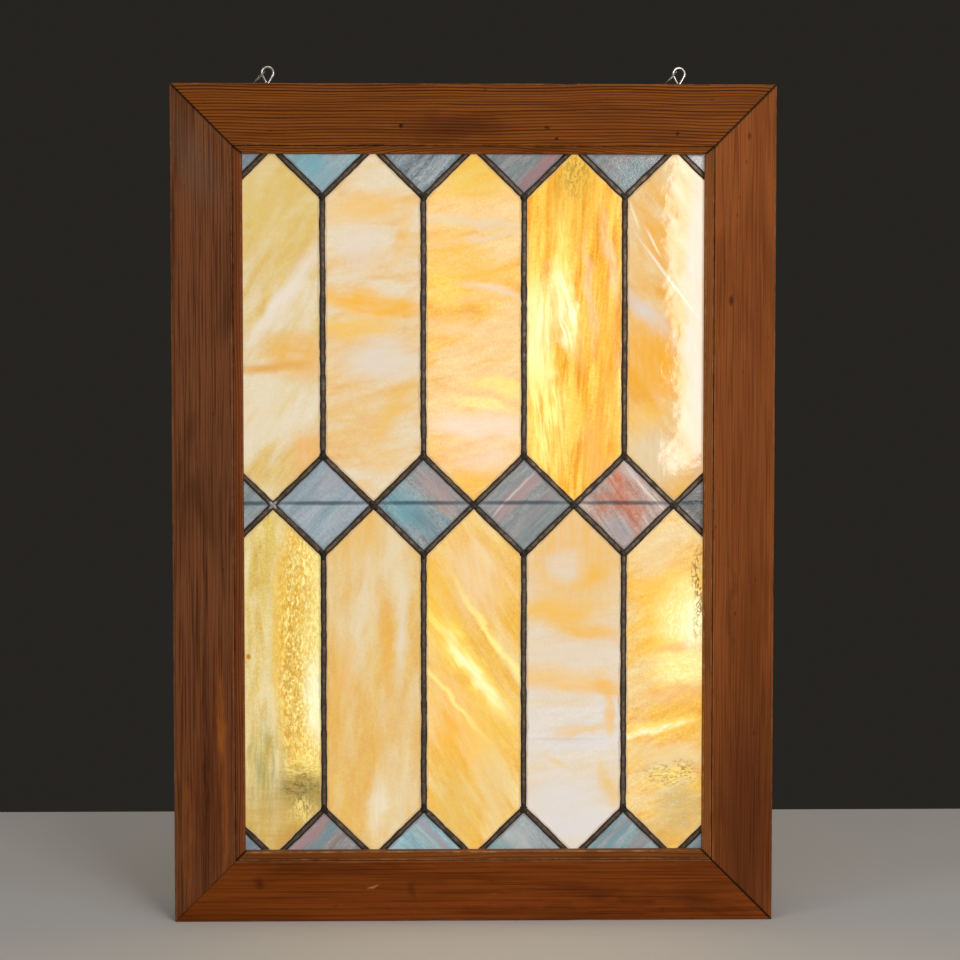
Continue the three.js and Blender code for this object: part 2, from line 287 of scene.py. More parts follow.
def buildWoodGrain():
    # Vector: X runs along the grain, Z across the face, Y into the wood
    tree, entry, leave = newGroup("woodGrain", [
        ("Vector", "vector", None),
        ("Early Wood", "color", "#A05A2C"),
        ("Late Wood", "color", "#5A2A10"),
        ("Stain", "color", "#3A1C0C"),
        ("Ring Spacing", "value", 0.004),
        ("Waviness", "value", 0.004),
        ("Contrast", "value", 0.8),
        ("Fibre", "value", 0.4),
        ("Stain Amount", "value", 0.3),
        ("Specks", "value", 0.5),
        ("Seed", "value", 0.0),
    ], [("Color", "color"), ("Height", "value"), ("Late Mask", "value")])
    seedShift = combined(tree, entry["Seed"], entry["Seed"], entry["Seed"])
    place = vectorCalc(tree, "ADD", entry["Vector"], seedShift)
    longWave = vectorCalc(tree, "MULTIPLY", place, (4.6, 7.0, 7.0))
    shortWave = vectorCalc(tree, "MULTIPLY", place, (16.0, 70.0, 70.0))
    bend = calc(tree, "SUBTRACT", noiseOf(tree, longWave, 1.0, 1.5), 0.5)
    ripple = calc(tree, "SUBTRACT", noiseOf(tree, shortWave, 1.0, 2.0), 0.5)
    bend = calc(tree, "MULTIPLY_ADD", ripple, 0.07, bend)
    bend = calc(tree, "MULTIPLY", bend, calc(tree, "MULTIPLY", entry["Waviness"], 6.0))
    parts = separated(tree, place)
    across = calc(tree, "MULTIPLY_ADD", parts[1], 0.35, parts[2])
    across = calc(tree, "ADD", across, bend)
    rings = calc(tree, "DIVIDE", across, entry["Ring Spacing"])
    uneven = noiseOf(tree, combined(tree, calc(tree, "MULTIPLY", across, 45.0)), 1.0, 2.0)
    rings = calc(tree, "MULTIPLY_ADD", uneven, 3.0, rings)
    turn = calc(tree, "FRACT", rings)
    rise = remap(tree, turn, 0.42, 0.80)
    fall = remap(tree, turn, 0.90, 1.0, 1.0, 0.0)
    late = calc(tree, "MULTIPLY", rise, fall)
    ringNumber = calc(tree, "MULTIPLY", calc(tree, "FLOOR", rings), 7.31)
    ringTone = noiseOf(tree, combined(tree, ringNumber), 1.0, 0.0)
    late = calc(tree, "MULTIPLY", late, remap(tree, ringTone, 0.25, 0.7, 0.45, 1.0))
    fibreVector = vectorCalc(tree, "MULTIPLY", place, (9.0, 500.0, 820.0))
    fibre = noiseOf(tree, fibreVector, 1.0, 3.0, 0.6)
    broadVector = vectorCalc(tree, "MULTIPLY", place, (5.0, 26.0, 26.0))
    broad = noiseOf(tree, broadVector, 1.0, 3.0, 0.6, 0.6)
    color = mixColors(tree, calc(tree, "MULTIPLY", late, entry["Contrast"]), entry["Early Wood"],
                      entry["Late Wood"])
    fibreMask = calc(tree, "MULTIPLY", remap(tree, fibre, 0.47, 0.64), entry["Fibre"])
    color = mixColors(tree, fibreMask, color, entry["Late Wood"])
    paleMask = calc(tree, "MULTIPLY", remap(tree, fibre, 0.47, 0.34), entry["Fibre"])
    color = mixColors(tree, calc(tree, "MULTIPLY", paleMask, 0.5), color, entry["Early Wood"])
    stainMask = calc(tree, "MULTIPLY", remap(tree, broad, 0.46, 0.74), entry["Stain Amount"])
    color = mixColors(tree, stainMask, color, entry["Stain"])
    speckVector = vectorCalc(tree, "MULTIPLY", place, (55.0, 160.0, 160.0))
    cells = addNode(tree, "ShaderNodeTexVoronoi", {"Vector": speckVector, "Scale": 1.0, "Randomness": 1.0})
    cellTone = addNode(tree, "ShaderNodeSeparateColor", {0: cells.outputs["Color"]}).outputs[0]
    chosen = remap(tree, cellTone, 0.93, 0.95)
    dot = remap(tree, cells.outputs["Distance"], 0.05, 0.20, 1.0, 0.0)
    speck = calc(tree, "MULTIPLY", calc(tree, "MULTIPLY", dot, chosen), entry["Specks"])
    color = mixColors(tree, speck, color, "#1E0D06")
    height = calc(tree, "MULTIPLY_ADD", late, 0.5, calc(tree, "MULTIPLY", fibre, -0.35))
    height = calc(tree, "SUBTRACT", height, speck)
    tree.links.new(color, leave["Color"])
    tree.links.new(height, leave["Height"])
    tree.links.new(late, leave["Late Mask"])


def buildEdgeWearAndShade():
    # Mask: 1 on an edge of the piece, 0 away from it. On the wood it gives worn edges; on the glass it
    # darkens the pane along the came, partly grime and partly painted shade.
    tree, entry, leave = newGroup("edgeWearAndShade", [
        ("Color", "color", None),
        ("Mask", "value", 0.0),
        ("Worn Color", "color", "#B98A5E"),
        ("Amount", "value", 0.5),
        ("Patch Scale", "value", 60.0),
        ("Reach", "value", 0.5),
    ], [("Color", "color"), ("Worn Mask", "value")])
    broken = noiseOf(tree, objectCoords(tree), entry["Patch Scale"], 4.0, 0.65)
    broken = calc(tree, "MULTIPLY_ADD", broken, 1.6, -0.8)
    level = calc(tree, "ADD", entry["Mask"], broken)
    floorLevel = calc(tree, "SUBTRACT", 1.0, entry["Reach"])
    worn = remap(tree, level, floorLevel, calc(tree, "ADD", floorLevel, 0.45))
    worn = calc(tree, "MULTIPLY", worn, entry["Amount"])
    tree.links.new(mixColors(tree, worn, entry["Color"], entry["Worn Color"]), leave["Color"])
    tree.links.new(worn, leave["Worn Mask"])


def buildSettledDust():
    tree, entry, leave = newGroup("settledDust", [
        ("Color", "color", None),
        ("Dust Color", "color", "#A79C8C"),
        ("Amount", "value", 0.3),
        ("Film", "value", 0.05),
    ], [("Color", "color"), ("Dust Mask", "value")])
    up = separated(tree, addNode(tree, "ShaderNodeNewGeometry").outputs["Normal"])[2]
    patches = noiseOf(tree, objectCoords(tree), 45.0, 4.0, 0.6)
    settled = calc(tree, "MULTIPLY", remap(tree, up, 0.35, 0.95), remap(tree, patches, 0.3, 0.7, 0.35, 1.0))
    settled = calc(tree, "MULTIPLY", settled, entry["Amount"])
    film = calc(tree, "MULTIPLY", remap(tree, patches, 0.45, 0.8), entry["Film"])
    mask = calc(tree, "ADD", settled, film, clamp=True)
    tree.links.new(mixColors(tree, mask, entry["Color"], entry["Dust Color"]), leave["Color"])
    tree.links.new(mask, leave["Dust Mask"])


def buildOvalMark():
    # an oval mark with a ragged edge, lying in the plane of the window
    tree, entry, leave = newGroup("ovalMark", [
        ("Vector", "vector", None),
        ("Push", "vector", (0, 0, 0)),
        ("Color", "color", None),
        ("Mark Color", "color", "#FFFFFF"),
        ("Centre", "vector", (0, 0, 0)),
        ("Half Size", "vector", (0.01, 1.0, 0.01)),
        ("Turn", "value", 0.0),
        ("Amount", "value", 1.0),
        ("Softness", "value", 0.5),
        ("Ragged", "value", 0.3),
        ("Texture", "value", 1.0),
    ], [("Color", "color"), ("Mask", "value")])
    push = scaled(tree, entry["Push"], entry["Ragged"])
    offset = vectorCalc(tree, "SUBTRACT", vectorCalc(tree, "ADD", entry["Vector"], push), entry["Centre"])
    local = vectorCalc(tree, "DIVIDE", turned(tree, offset, entry["Turn"]), entry["Half Size"])
    distance = addNode(tree, "ShaderNodeVectorMath", {0: local}, operation="LENGTH").outputs["Value"]
    inner = calc(tree, "SUBTRACT", 1.0, entry["Softness"])
    outer = calc(tree, "ADD", 1.0, entry["Softness"])
    mask = remap(tree, distance, inner, outer, 1.0, 0.0)
    mask = calc(tree, "MULTIPLY", mask, entry["Texture"])
    mask = calc(tree, "MULTIPLY", mask, entry["Amount"], clamp=True)
    tree.links.new(mixColors(tree, mask, entry["Color"], entry["Mark Color"]), leave["Color"])
    tree.links.new(mask, leave["Mask"])


def buildOpalStreaks():
    # Vector: streaks run along Z
    tree, entry, leave = newGroup("opalStreaks", [
        ("Vector", "vector", None),
        ("Milk", "color", "#E9DCC0"),
        ("Tint", "color", "#EDBD60"),
        ("Deep", "color", "#D99A30"),
        ("Scale", "value", 20.0),
        ("Stretch", "value", 3.0),
        ("Warp", "value", 1.0),
        ("Balance", "value", 0.5),
        ("Softness", "value", 0.15),
        ("Deep Amount", "value", 0.3),
        ("Strands", "value", 0.3),
        ("Sparkle", "value", 0.1),
        ("Seed", "value", 0.0),
    ], [("Color", "color"), ("Height", "value")])
    seedShift = combined(tree, entry["Seed"], entry["Seed"], entry["Seed"])
    squeeze = calc(tree, "DIVIDE", 1.0, entry["Stretch"])
    place = vectorCalc(tree, "MULTIPLY", entry["Vector"], combined(tree, 1.0, 0.3, squeeze))
    place = vectorCalc(tree, "ADD", place, seedShift)
    bent = warped(tree, place, 14.0, calc(tree, "MULTIPLY", entry["Warp"], 0.045))
    bent = warped(tree, bent, 70.0, calc(tree, "MULTIPLY", entry["Warp"], 0.006), 1.0)
    broad = noiseOf(tree, bent, entry["Scale"], 3.0, 0.5)
    thin = noiseOf(tree, bent, calc(tree, "MULTIPLY", entry["Scale"], 3.4), 3.0, 0.52)
    mottle = noiseOf(tree, place, 150.0, 2.0, 0.6)
    fine = noiseOf(tree, entry["Vector"], 430.0, 2.0, 0.7)
    fine = calc(tree, "MULTIPLY_ADD", mottle, 0.45, calc(tree, "MULTIPLY", fine, 0.55))
    low = calc(tree, "SUBTRACT", entry["Balance"], entry["Softness"])
    high = calc(tree, "ADD", entry["Balance"], entry["Softness"])
    mingled = calc(tree, "MULTIPLY_ADD", thin, 0.45, calc(tree, "MULTIPLY", broad, 0.55))
    color = mixColors(tree, remap(tree, mingled, low, high), entry["Milk"], entry["Tint"])
    strandVector = vectorCalc(tree, "MULTIPLY", bent, (1.0, 1.0, 0.35))
    strands = noiseOf(tree, strandVector, calc(tree, "MULTIPLY", entry["Scale"], 11.0), 2.0, 0.6)
    strandMask = calc(tree, "MULTIPLY", remap(tree, strands, 0.50, 0.64), entry["Strands"])
    color = mixColors(tree, strandMask, color, entry["Milk"])
    strandMask = calc(tree, "MULTIPLY", remap(tree, strands, 0.50, 0.36), entry["Strands"])
    color = mixColors(tree, calc(tree, "MULTIPLY", strandMask, 0.7), color, entry["Deep"])
    deepMask = calc(tree, "MULTIPLY", remap(tree, thin, 0.52, 0.72), entry["Deep Amount"])
    color = mixColors(tree, deepMask, color, entry["Deep"])
    light = calc(tree, "MULTIPLY", remap(tree, fine, 0.49, 0.66), entry["Sparkle"])
    color = mixColors(tree, light, color, "#FFFFF4", "OVERLAY")
    dark = calc(tree, "MULTIPLY", remap(tree, fine, 0.51, 0.34), entry["Sparkle"])
    color = mixColors(tree, dark, color, "#5A4014", "OVERLAY")
    tree.links.new(color, leave["Color"])
    tree.links.new(fine, leave["Height"])


def buildLeadPatinaAndPaintedLight():
    # Crown: 1 along the middle of a came, 0 at its flanges. The flanges go dark, partly patina and partly
    # painted shade, and the crown light, partly rubbed metal and partly a painted highlight.
    tree, entry, leave = newGroup("leadPatinaAndPaintedLight", [
        ("Crown", "value", 0.5),
        ("Dark", "color", "#1B1816"),
        ("Mid", "color", "#4A443E"),
        ("Light", "color", "#7C736A"),
        ("Blotch Scale", "value", 120.0),
        ("Bloom", "value", 0.3),
    ], [("Color", "color"), ("Height", "value"), ("Gloss Mask", "value")])
    coords = objectCoords(tree)
    blotch = noiseOf(tree, coords, entry["Blotch Scale"], 4.0, 0.6)
    fine = noiseOf(tree, coords, 900.0, 3.0, 0.6)
    level = calc(tree, "MULTIPLY_ADD", calc(tree, "SUBTRACT", blotch, 0.5), 0.5, entry["Crown"])
    color = mixColors(tree, remap(tree, level, 0.64, 0.92), entry["Dark"], entry["Mid"])
    color = mixColors(tree, remap(tree, level, 0.88, 1.14), color, entry["Light"])
    bloom = calc(tree, "MULTIPLY", remap(tree, fine, 0.56, 0.74), entry["Bloom"])
    color = mixColors(tree, bloom, color, "#A9A6A2")
    tree.links.new(color, leave["Color"])
    tree.links.new(calc(tree, "MULTIPLY_ADD", fine, 0.4, blotch), leave["Height"])
    tree.links.new(remap(tree, blotch, 0.3, 0.7, 0.62, 0.40), leave["Gloss Mask"])


for build in (buildWoodGrain, buildEdgeWearAndShade, buildSettledDust, buildOvalMark, buildOpalStreaks,
              buildLeadPatinaAndPaintedLight):
    build()
print("surface effects built")


# ---- mesh helpers

def smoothNoise(u, v, size, seed):
    # value noise between -1 and 1, smooth over about one size
    table = np.random.default_rng(seed).uniform(-1.0, 1.0, (64, 64))
    u = np.asarray(u, float) / size
    v = np.asarray(v, float) / size
    iu = np.floor(u).astype(int)
    iv = np.floor(v).astype(int)
    fu = u - iu
    fv = v - iv
    fu = fu * fu * (3 - 2 * fu)
    fv = fv * fv * (3 - 2 * fv)
    near = table[iu % 64, iv % 64] * (1 - fu) + table[(iu + 1) % 64, iv % 64] * fu
    far = table[iu % 64, (iv + 1) % 64] * (1 - fu) + table[(iu + 1) % 64, (iv + 1) % 64] * fu
    return near * (1 - fv) + far * fv


def gridQuads(rows, columns, closed):
    i, j = np.meshgrid(np.arange(rows - 1), np.arange(columns if closed else columns - 1), indexing="ij")
    a = i * columns + j
    b = i * columns + (j + 1) % columns
    return np.stack([a, b, b + columns, a + columns], -1).reshape(-1, 4)


def meshFrom(name, points, faces, sharpAngle, attributes=None):
    data = bpy.data.meshes.new(name)
    data.from_pydata(np.asarray(points).tolist(), [], [list(map(int, face)) for face in faces])
    data.validate()
    for label, values in (attributes or {}).items():
        layer = data.attributes.new(label, "FLOAT", "POINT")
        layer.data.foreach_set("value", np.asarray(values, np.float32).ravel())
    data.polygons.foreach_set("use_smooth", np.ones(len(data.polygons), bool))
    data.set_sharp_from_angle(angle=math.radians(sharpAngle))
    return addObject(name, data)


def settle(piece, look, slotName, *nodes):
    piece.data.materials.append(look)
    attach(piece, "root")
    if nodes:
        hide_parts(*nodes)


def roundedOutline(corners, spacings):
    # corners: (inward, depth, radius) in mm; spacings: step along the side that follows each corner
    count = len(corners)
    arcs = []
    for i in range(count):
        here = np.array(corners[i][:2], float)
        before = np.array(corners[i - 1][:2], float) - here
        after = np.array(corners[(i + 1) % count][:2], float) - here
        before /= np.linalg.norm(before)
        after /= np.linalg.norm(after)
        radius = corners[i][2]
        start = here + before * radius
        end = here + after * radius
        steps = np.linspace(0, 1, 5)[:, None]
        arcs.append((1 - steps) ** 2 * start + 2 * steps * (1 - steps) * here + steps ** 2 * end)
    outline = []
    for i in range(count):
        outline.extend(arcs[i])
        start = arcs[i][-1]
        end = arcs[(i + 1) % count][0]
        pieces = max(1, round(np.linalg.norm(end - start) / spacings[i]))
        for k in range(1, pieces):
            outline.append(start + (end - start) * k / pieces)
    return np.array(outline)


def endCaps(rows, columns):
    first = list(range(columns))[::-1]
    last = [(rows - 1) * columns + k for k in range(columns)]
    return [first, last]


def tubeAlong(path, radii, sides, closed=False):
    # a round wire along a path, its frames carried from point to point
    path = np.asarray(path, float)
    count = len(path)
    if closed:
        tangents = np.roll(path, -1, 0) - np.roll(path, 1, 0)
    else:
        tangents = np.gradient(path, axis=0)
    tangents /= np.linalg.norm(tangents, axis=1)[:, None]
    side = np.array([0.0, 1.0, 0.0])
    rings = []
    for k in range(count):
        side = side - tangents[k] * side.dot(tangents[k])
        side /= np.linalg.norm(side)
        other = np.cross(tangents[k], side)
        angles = np.linspace(0, 2 * math.pi, sides, endpoint=False)
        ring = path[k] + radii[k] * (np.cos(angles)[:, None] * side + np.sin(angles)[:, None] * other)
        rings.append(ring)
    points = np.concatenate(rings)
    faces = gridQuads(count, sides, True).tolist()
    if closed:
        base = (count - 1) * sides
        faces += [[base + k, base + (k + 1) % sides, (k + 1) % sides, k] for k in range(sides)]
    else:
        faces += endCaps(count, sides)
    return points, faces


# ---- wood

railShape = {
    "face": 64.0,
    "depth": 35.0,
    "lip": 7.5,
    "lipDepth": 13.5,
    "frontArris": 1.5,
    "backArris": 1.3,
    "innerArris": 0.7,
    "faceStep": 1.4,
    "backStep": 5.0,
    "arrisWear": 0.35,
}

# what rails and stops share, in mm: the cut at a mitre, the steps of the mesh, how far from a
# corner it is rubbed, and the sizes of the rubbed patches and of the wave in the face
barCut = {
    "mitreGap": 0.4,
    "mitreStep": 1.6,
    "lengthStep": 3.0,
    "cornerReach": 3.2,
    "rubSize": 9.0,
    "longRubSize": 31.0,
    "wave": 0.12,
    "waveSize": 26.0,
}

# nicks and dents: along the rail from its middle, inward from its outer edge, half length,
# half width and depth, in mm
railNicks = {
    "top_rail": [(-96, 0.5, 7, 2.0, 1.1), (-84, 1.0, 3, 1.5, 0.9), (-78, 44, 2.2, 1.6, 0.7),
                 (76, 44, 3.0, 1.2, 0.5), (86, 55, 2.2, 1.6, 0.6), (212, 49, 2.0, 2.0, 0.7),
                 (-12, 1.0, 9, 1.5, 0.7), (160, 0.8, 6, 1.2, 0.5), (-150, 63.6, 8, 1.2, 0.5)],
    "bottom_rail": [(-105, 36, 6, 1.6, 0.5), (22, 30, 3, 2.0, 0.6), (120, 0.8, 14, 1.2, 0.7),
                    (-40, 0.6, 10, 1.2, 0.6), (-228, 38, 4, 3.0, 0.3)],
    "left_stile": [(-232, 0.6, 12, 1.3, 0.7), (-60, 0.8, 9, 1.1, 0.6), (110, 63.5, 14, 1.0, 0.5),
                   (250, 50, 24, 5.0, 0.25)],
    "right_stile": [(245, 30, 3, 2.2, 0.7), (120, 0.8, 14, 1.2, 0.8), (-90, 0.7, 8, 1.4, 0.7),
                    (-282, 20, 5, 1.5, 0.5), (30, 63.6, 10, 1.0, 0.5)],
}

# quarter turns that carry a rail from the bottom to its own side
railSides = {
    "bottom_rail": 0,
    "left_stile": 1,
    "top_rail": 2,
    "right_stile": 3,
}

# the end of each rail, -1 or 1 along its drawn length, whose mitre has stayed tight
closedMitres = {"bottom_rail": -1, "left_stile": 1}


def frameSize():
    # the middle of the wood, and its width and height in mm
    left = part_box("left_stile")[0].x
    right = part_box("right_stile")[1].x
    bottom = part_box("bottom_rail")[0].z
    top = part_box("top_rail")[1].z
    middle = ((left + right) / 2, 0.0, (bottom + top) / 2)
    return middle, (right - left) / mm, (top - bottom) / mm


def turnedSide(x, y, z, quarter):
    # carries a bar drawn along the lower side to the side that many quarter turns round
    angle = -quarter * math.pi / 2
    c = math.cos(angle)
    s = math.sin(angle)
    return np.stack([x * c - z * s, y, x * s + z * c], -1)


def barAlongSide(name, corners, spacings, length, height, runs, quarter, middle, wear, nicks, seed,
                 closedEnd=0):
    outline = roundedOutline(corners, spacings)[::-1]
    inward = outline[:, 0]
    depth = outline[:, 1]
    inner = np.linspace(-1, 1, max(3, round(length / barCut["lengthStep"])))
    last = 1 - barCut["mitreStep"] / (length / 2)
    t = np.concatenate([[-1, -last], inner[1:-1], [last, 1]])[:, None]
    rows = len(t)
    rightReach = length / 2 - barCut["mitreGap"] - runs[0] * inward
    leftReach = length / 2 - barCut["mitreGap"] - runs[1] * inward
    x = np.where(t > 0, t * rightReach, t * leftReach)
    inwardGrid = np.broadcast_to(inward, x.shape).copy()
    depthGrid = np.broadcast_to(depth, x.shape).copy()
    # how near each point of the section is to one of its rounded corners
    near = np.zeros(len(outline))
    for corner in corners:
        away = np.hypot(inward - corner[0], depth - corner[1])
        near = np.maximum(near, np.clip(1 - away / barCut["cornerReach"], 0, 1))
    middleOfSection = np.array([np.mean([c[0] for c in corners]), np.mean([c[1] for c in corners])])
    toMiddle = np.stack([middleOfSection[0] - inward, middleOfSection[1] - depth], -1)
    toMiddle /= np.linalg.norm(toMiddle, axis=1)[:, None]
    rub = 0.5 + 0.5 * smoothNoise(x, inwardGrid + depthGrid, barCut["rubSize"], seed)
    rub = rub * (0.6 + 0.4 * smoothNoise(x, inwardGrid - depthGrid, barCut["longRubSize"], seed + 1))
    rub = np.clip(rub, 0, 1) * wear * near
    wave = barCut["wave"] * smoothNoise(x, inwardGrid + 40, barCut["waveSize"], seed + 2)
    inwardGrid += rub * toMiddle[:, 0]
    depthGrid += rub * toMiddle[:, 1]
    front = depth < min(c[1] for c in corners) + 0.5
    depthGrid += np.where(front, np.abs(wave), 0.0)
    for along, across, halfLength, halfWidth, bite in nicks:
        pull = np.exp(-((x - along) / halfLength) ** 2 - ((inwardGrid - across) / halfWidth) ** 2)
        depthGrid += np.where(front | (near > 0.4), bite * pull, 0.0) * (depthGrid < 0)
        inwardGrid += np.where(inward < 2.0, pull * bite * 0.5, 0.0)
    points = turnedSide(x, depthGrid, inwardGrid - height / 2, quarter)
    points = points.reshape(-1, 3) * mm + np.array(middle)
    faces = gridQuads(rows, len(outline), True).tolist() + endCaps(rows, len(outline))
    # how near each point is to a mitre: most mitres are open, and near them the wood is painted near black
    # as painted shade of the gap; a closed one is rubbed light
    toEnd = (1 - np.abs(t)) * length / 2
    nearMitre = np.clip(1.25 - toEnd / barCut["mitreStep"], 0, 1)
    rubbed = np.where(np.sign(t) == closedEnd, nearMitre, 0.0)
    mask = np.maximum(np.broadcast_to(near, x.shape), rubbed * 0.8)
    dark = np.broadcast_to(nearMitre - rubbed, x.shape)
    return meshFrom(name, points, faces, 35.0, {"edge": mask, "seam": dark})


def woodMaterial(name, look, upright, marks=()):
    made, tree, shader = newMaterial(name)
    coords = objectCoords(tree)
    if upright:
        coords = turned(tree, coords, math.radians(90))
    grain = useGroup(tree, "woodGrain", vector=coords, earlyWood=look["early"],
                     lateWood=look["late"], stain=look["stain"], ringSpacing=look["rings"],
                     waviness=look["waves"], contrast=look["contrast"], fibre=look["fibre"],
                     stainAmount=look["stained"], specks=look["specks"], seed=look["seed"])
    color = applyMarks(tree, grain["Color"], marks) if marks else grain["Color"]
    worn = useGroup(tree, "edgeWearAndShade", color=color, mask=attributeOf(tree, "edge"),
                    wornColor=look["worn"], amount=look["wear"], patchScale=70.0, reach=0.42)
    dusted = useGroup(tree, "settledDust", color=worn["Color"], dustColor="#8C7A66", amount=0.35,
                      film=look["film"])
    rough = remap(tree, grain["Late Mask"], 0.0, 1.0, look["rough"] + 0.08, look["rough"] - 0.06)
    rough = calc(tree, "MULTIPLY_ADD", dusted["Dust Mask"], 0.3, rough)
    # painted shade: near black at the open mitres
    seam = calc(tree, "MULTIPLY", attributeOf(tree, "seam"), 0.92)
    color = mixColors(tree, seam, dusted["Color"], "#150803")
    setShader(tree, shader, baseColor=color, roughness=rough, metallic=0.0, specular=0.07, ior=1.5,
              normal=bumpOf(tree, grain["Height"], 0.0006, look["bump"]))
    return made


def mark(color, at, size, turn, amount, soft, ragged, streaks=0.0, grain=0.0):
    # at and size in mm: the middle of the mark (x, z) and its half width and half height.
    # Streaks run along its length; grain breaks it into fine squiggles.
    wide, tall = size
    if wide > tall:
        wide, tall, turn = tall, wide, turn - 90.0
    group = {
        "markColor": color,
        "centre": (at[0] * mm, 0.0, at[1] * mm),
        "halfSize": (wide * mm, 1000.0, tall * mm),
        "turn": math.radians(turn),
        "amount": amount,
        "softness": soft,
        "ragged": ragged,
    }
    return group, streaks, grain


def partly(tree, texture, share):
    # a texture that acts by some share and leaves the rest whole
    return calc(tree, "MULTIPLY_ADD", texture, share, 1.0 - share)


def applyMarks(tree, color, marks):
    coords = objectCoords(tree)
    broad = warped(tree, coords, 26.0, 0.070)
    push = vectorCalc(tree, "SUBTRACT", warped(tree, broad, 110.0, 0.020, 3.0), coords)
    bent = warped(tree, coords, 40.0, 0.005, 1.0)
    for order, (group, streaks, grain) in enumerate(marks):
        texture = 1.0
        along = vectorCalc(tree, "ADD", turned(tree, bent, group["turn"]), (0.37 * order, 0.0, 0.0))
        if streaks > 0:
            lines = noiseOf(tree, vectorCalc(tree, "MULTIPLY", along, (230.0, 0.0, 24.0)), 1.0, 3.0, 0.6)
            texture = partly(tree, remap(tree, lines, 0.38, 0.62), streaks)
        if grain > 0:
            ripples = noiseOf(tree, vectorCalc(tree, "MULTIPLY", along, (330.0, 0.0, 150.0)), 1.0, 2.0,
                              0.5, 1.1)
            squiggles = partly(tree, remap(tree, ripples, 0.48, 0.56), grain)
            texture = calc(tree, "MULTIPLY", squiggles, texture)
        color = useGroup(tree, "ovalMark", vector=coords, push=push, color=color, texture=texture,
                         **group)["Color"]
    return color


woodLooks = {
    "top_rail": {
        "early": "#97541C", "late": "#300A00", "stain": "#5A260A", "worn": "#B8723C",
        "rings": 0.0032, "waves": 0.0028, "contrast": 1.0, "fibre": 0.4, "stained": 0.4,
        "specks": 0.5, "wear": 0.45, "film": 0.0, "rough": 0.56, "bump": 0.6, "seed": 3.17,
    },
    "bottom_rail": {
        "early": "#8E4814", "late": "#551E04", "stain": "#451A04", "worn": "#A56A3C",
        "rings": 0.0062, "waves": 0.0018, "contrast": 0.36, "fibre": 0.55, "stained": 0.6,
        "specks": 0.4, "wear": 0.4, "film": 0.0, "rough": 0.52, "bump": 0.35, "seed": 8.4,
    },
    "left_stile": {
        "early": "#885332", "late": "#482410", "stain": "#4A2A16", "worn": "#A87650",
        "rings": 0.0034, "waves": 0.0016, "contrast": 0.38, "fibre": 0.8, "stained": 0.6,
        "specks": 0.4, "wear": 0.45, "film": 0.03, "rough": 0.58, "bump": 0.5, "seed": 5.61,
    },
    "right_stile": {
        "early": "#A25C2C", "late": "#703A18", "stain": "#66300E", "worn": "#B97C4C",
        "rings": 0.003, "waves": 0.0016, "contrast": 0.4, "fibre": 0.7, "stained": 0.5,
        "specks": 0.5, "wear": 0.4, "film": 0.0, "rough": 0.56, "bump": 0.45, "seed": 1.93,
    },
}

woodMarks = {
    "top_rail": [
        mark("#2A0F05", (-75, -57), (2.6, 2.2), 0, 0.85, 0.5, 0.2),
        mark("#3A1708", (75, -57), (3.4, 1.4), -15, 0.8, 0.5, 0.2),
        mark("#2A0F05", (86, -68), (1.8, 1.6), 0, 0.8, 0.5, 0.2),
        mark("#34140A", (212, -62), (1.8, 2.0), 0, 0.8, 0.5, 0.2),
        mark("#4A1E0C", (-18, -60), (46, 14), 0, 0.55, 0.8, 0.4),
    ],
    "bottom_rail": [
        mark("#D08A58", (-105, -857), (5, 1.6), 25, 0.75, 0.5, 0.3),
        mark("#2A1208", (-226, -855), (5, 4), 0, 0.5, 0.9, 0.4),
        mark("#2E1408", (-63, -856), (4, 5), 0, 0.35, 0.9, 0.4),
        mark("#C8925C", (-264, -836), (2.2, 3.2), -20, 0.8, 0.5, 0.2),
        mark("#9A4A1C", (40, -874), (210, 5), 0, 0.4, 0.8, 0.4),
    ],
    "left_stile": [
        mark("#6A3010", (-270, -760), (34, 120), 0, 0.55, 0.8, 0.2, 0.5),
        mark("#B86A2C", (-266, -690), (4.2, 56), 2, 0.8, 0.9, 0.12, 0.6),
        mark("#B0682E", (-262, -790), (2.6, 50), 0, 0.7, 0.8, 0.1, 0.6),
        mark("#2E1206", (-282, -740), (4, 110), 0, 0.6, 0.8, 0.1, 0.6),
        mark("#6E6258", (-291, -95), (16, 40), 25, 0.35, 0.9, 0.4, 0.3),
        mark("#A8602C", (-303, -800), (5, 80), 0, 0.5, 0.8, 0.3, 0.9),
    ],
    "right_stile": [
        # the broad dark mark low on the stile is a painted shadow; with the fainter one above it, the stile
        # is darker towards the bottom
        mark("#3A1607", (290, -780), (40, 130), 0, 0.62, 0.9, 0.3),
        mark("#5C2C12", (286, -430), (36, 150), 0, 0.25, 0.9, 0.3),
        mark("#4A1E0C", (270, -560), (3.0, 60), 0, 0.4, 0.8, 0.3, 0.4),
        mark("#3C1808", (269, -237), (2.4, 5), 0, 0.7, 0.5, 0.1),
        mark("#4A200C", (287, -66), (1.8, 4), 0, 0.6, 0.5, 0.1),
    ],
}


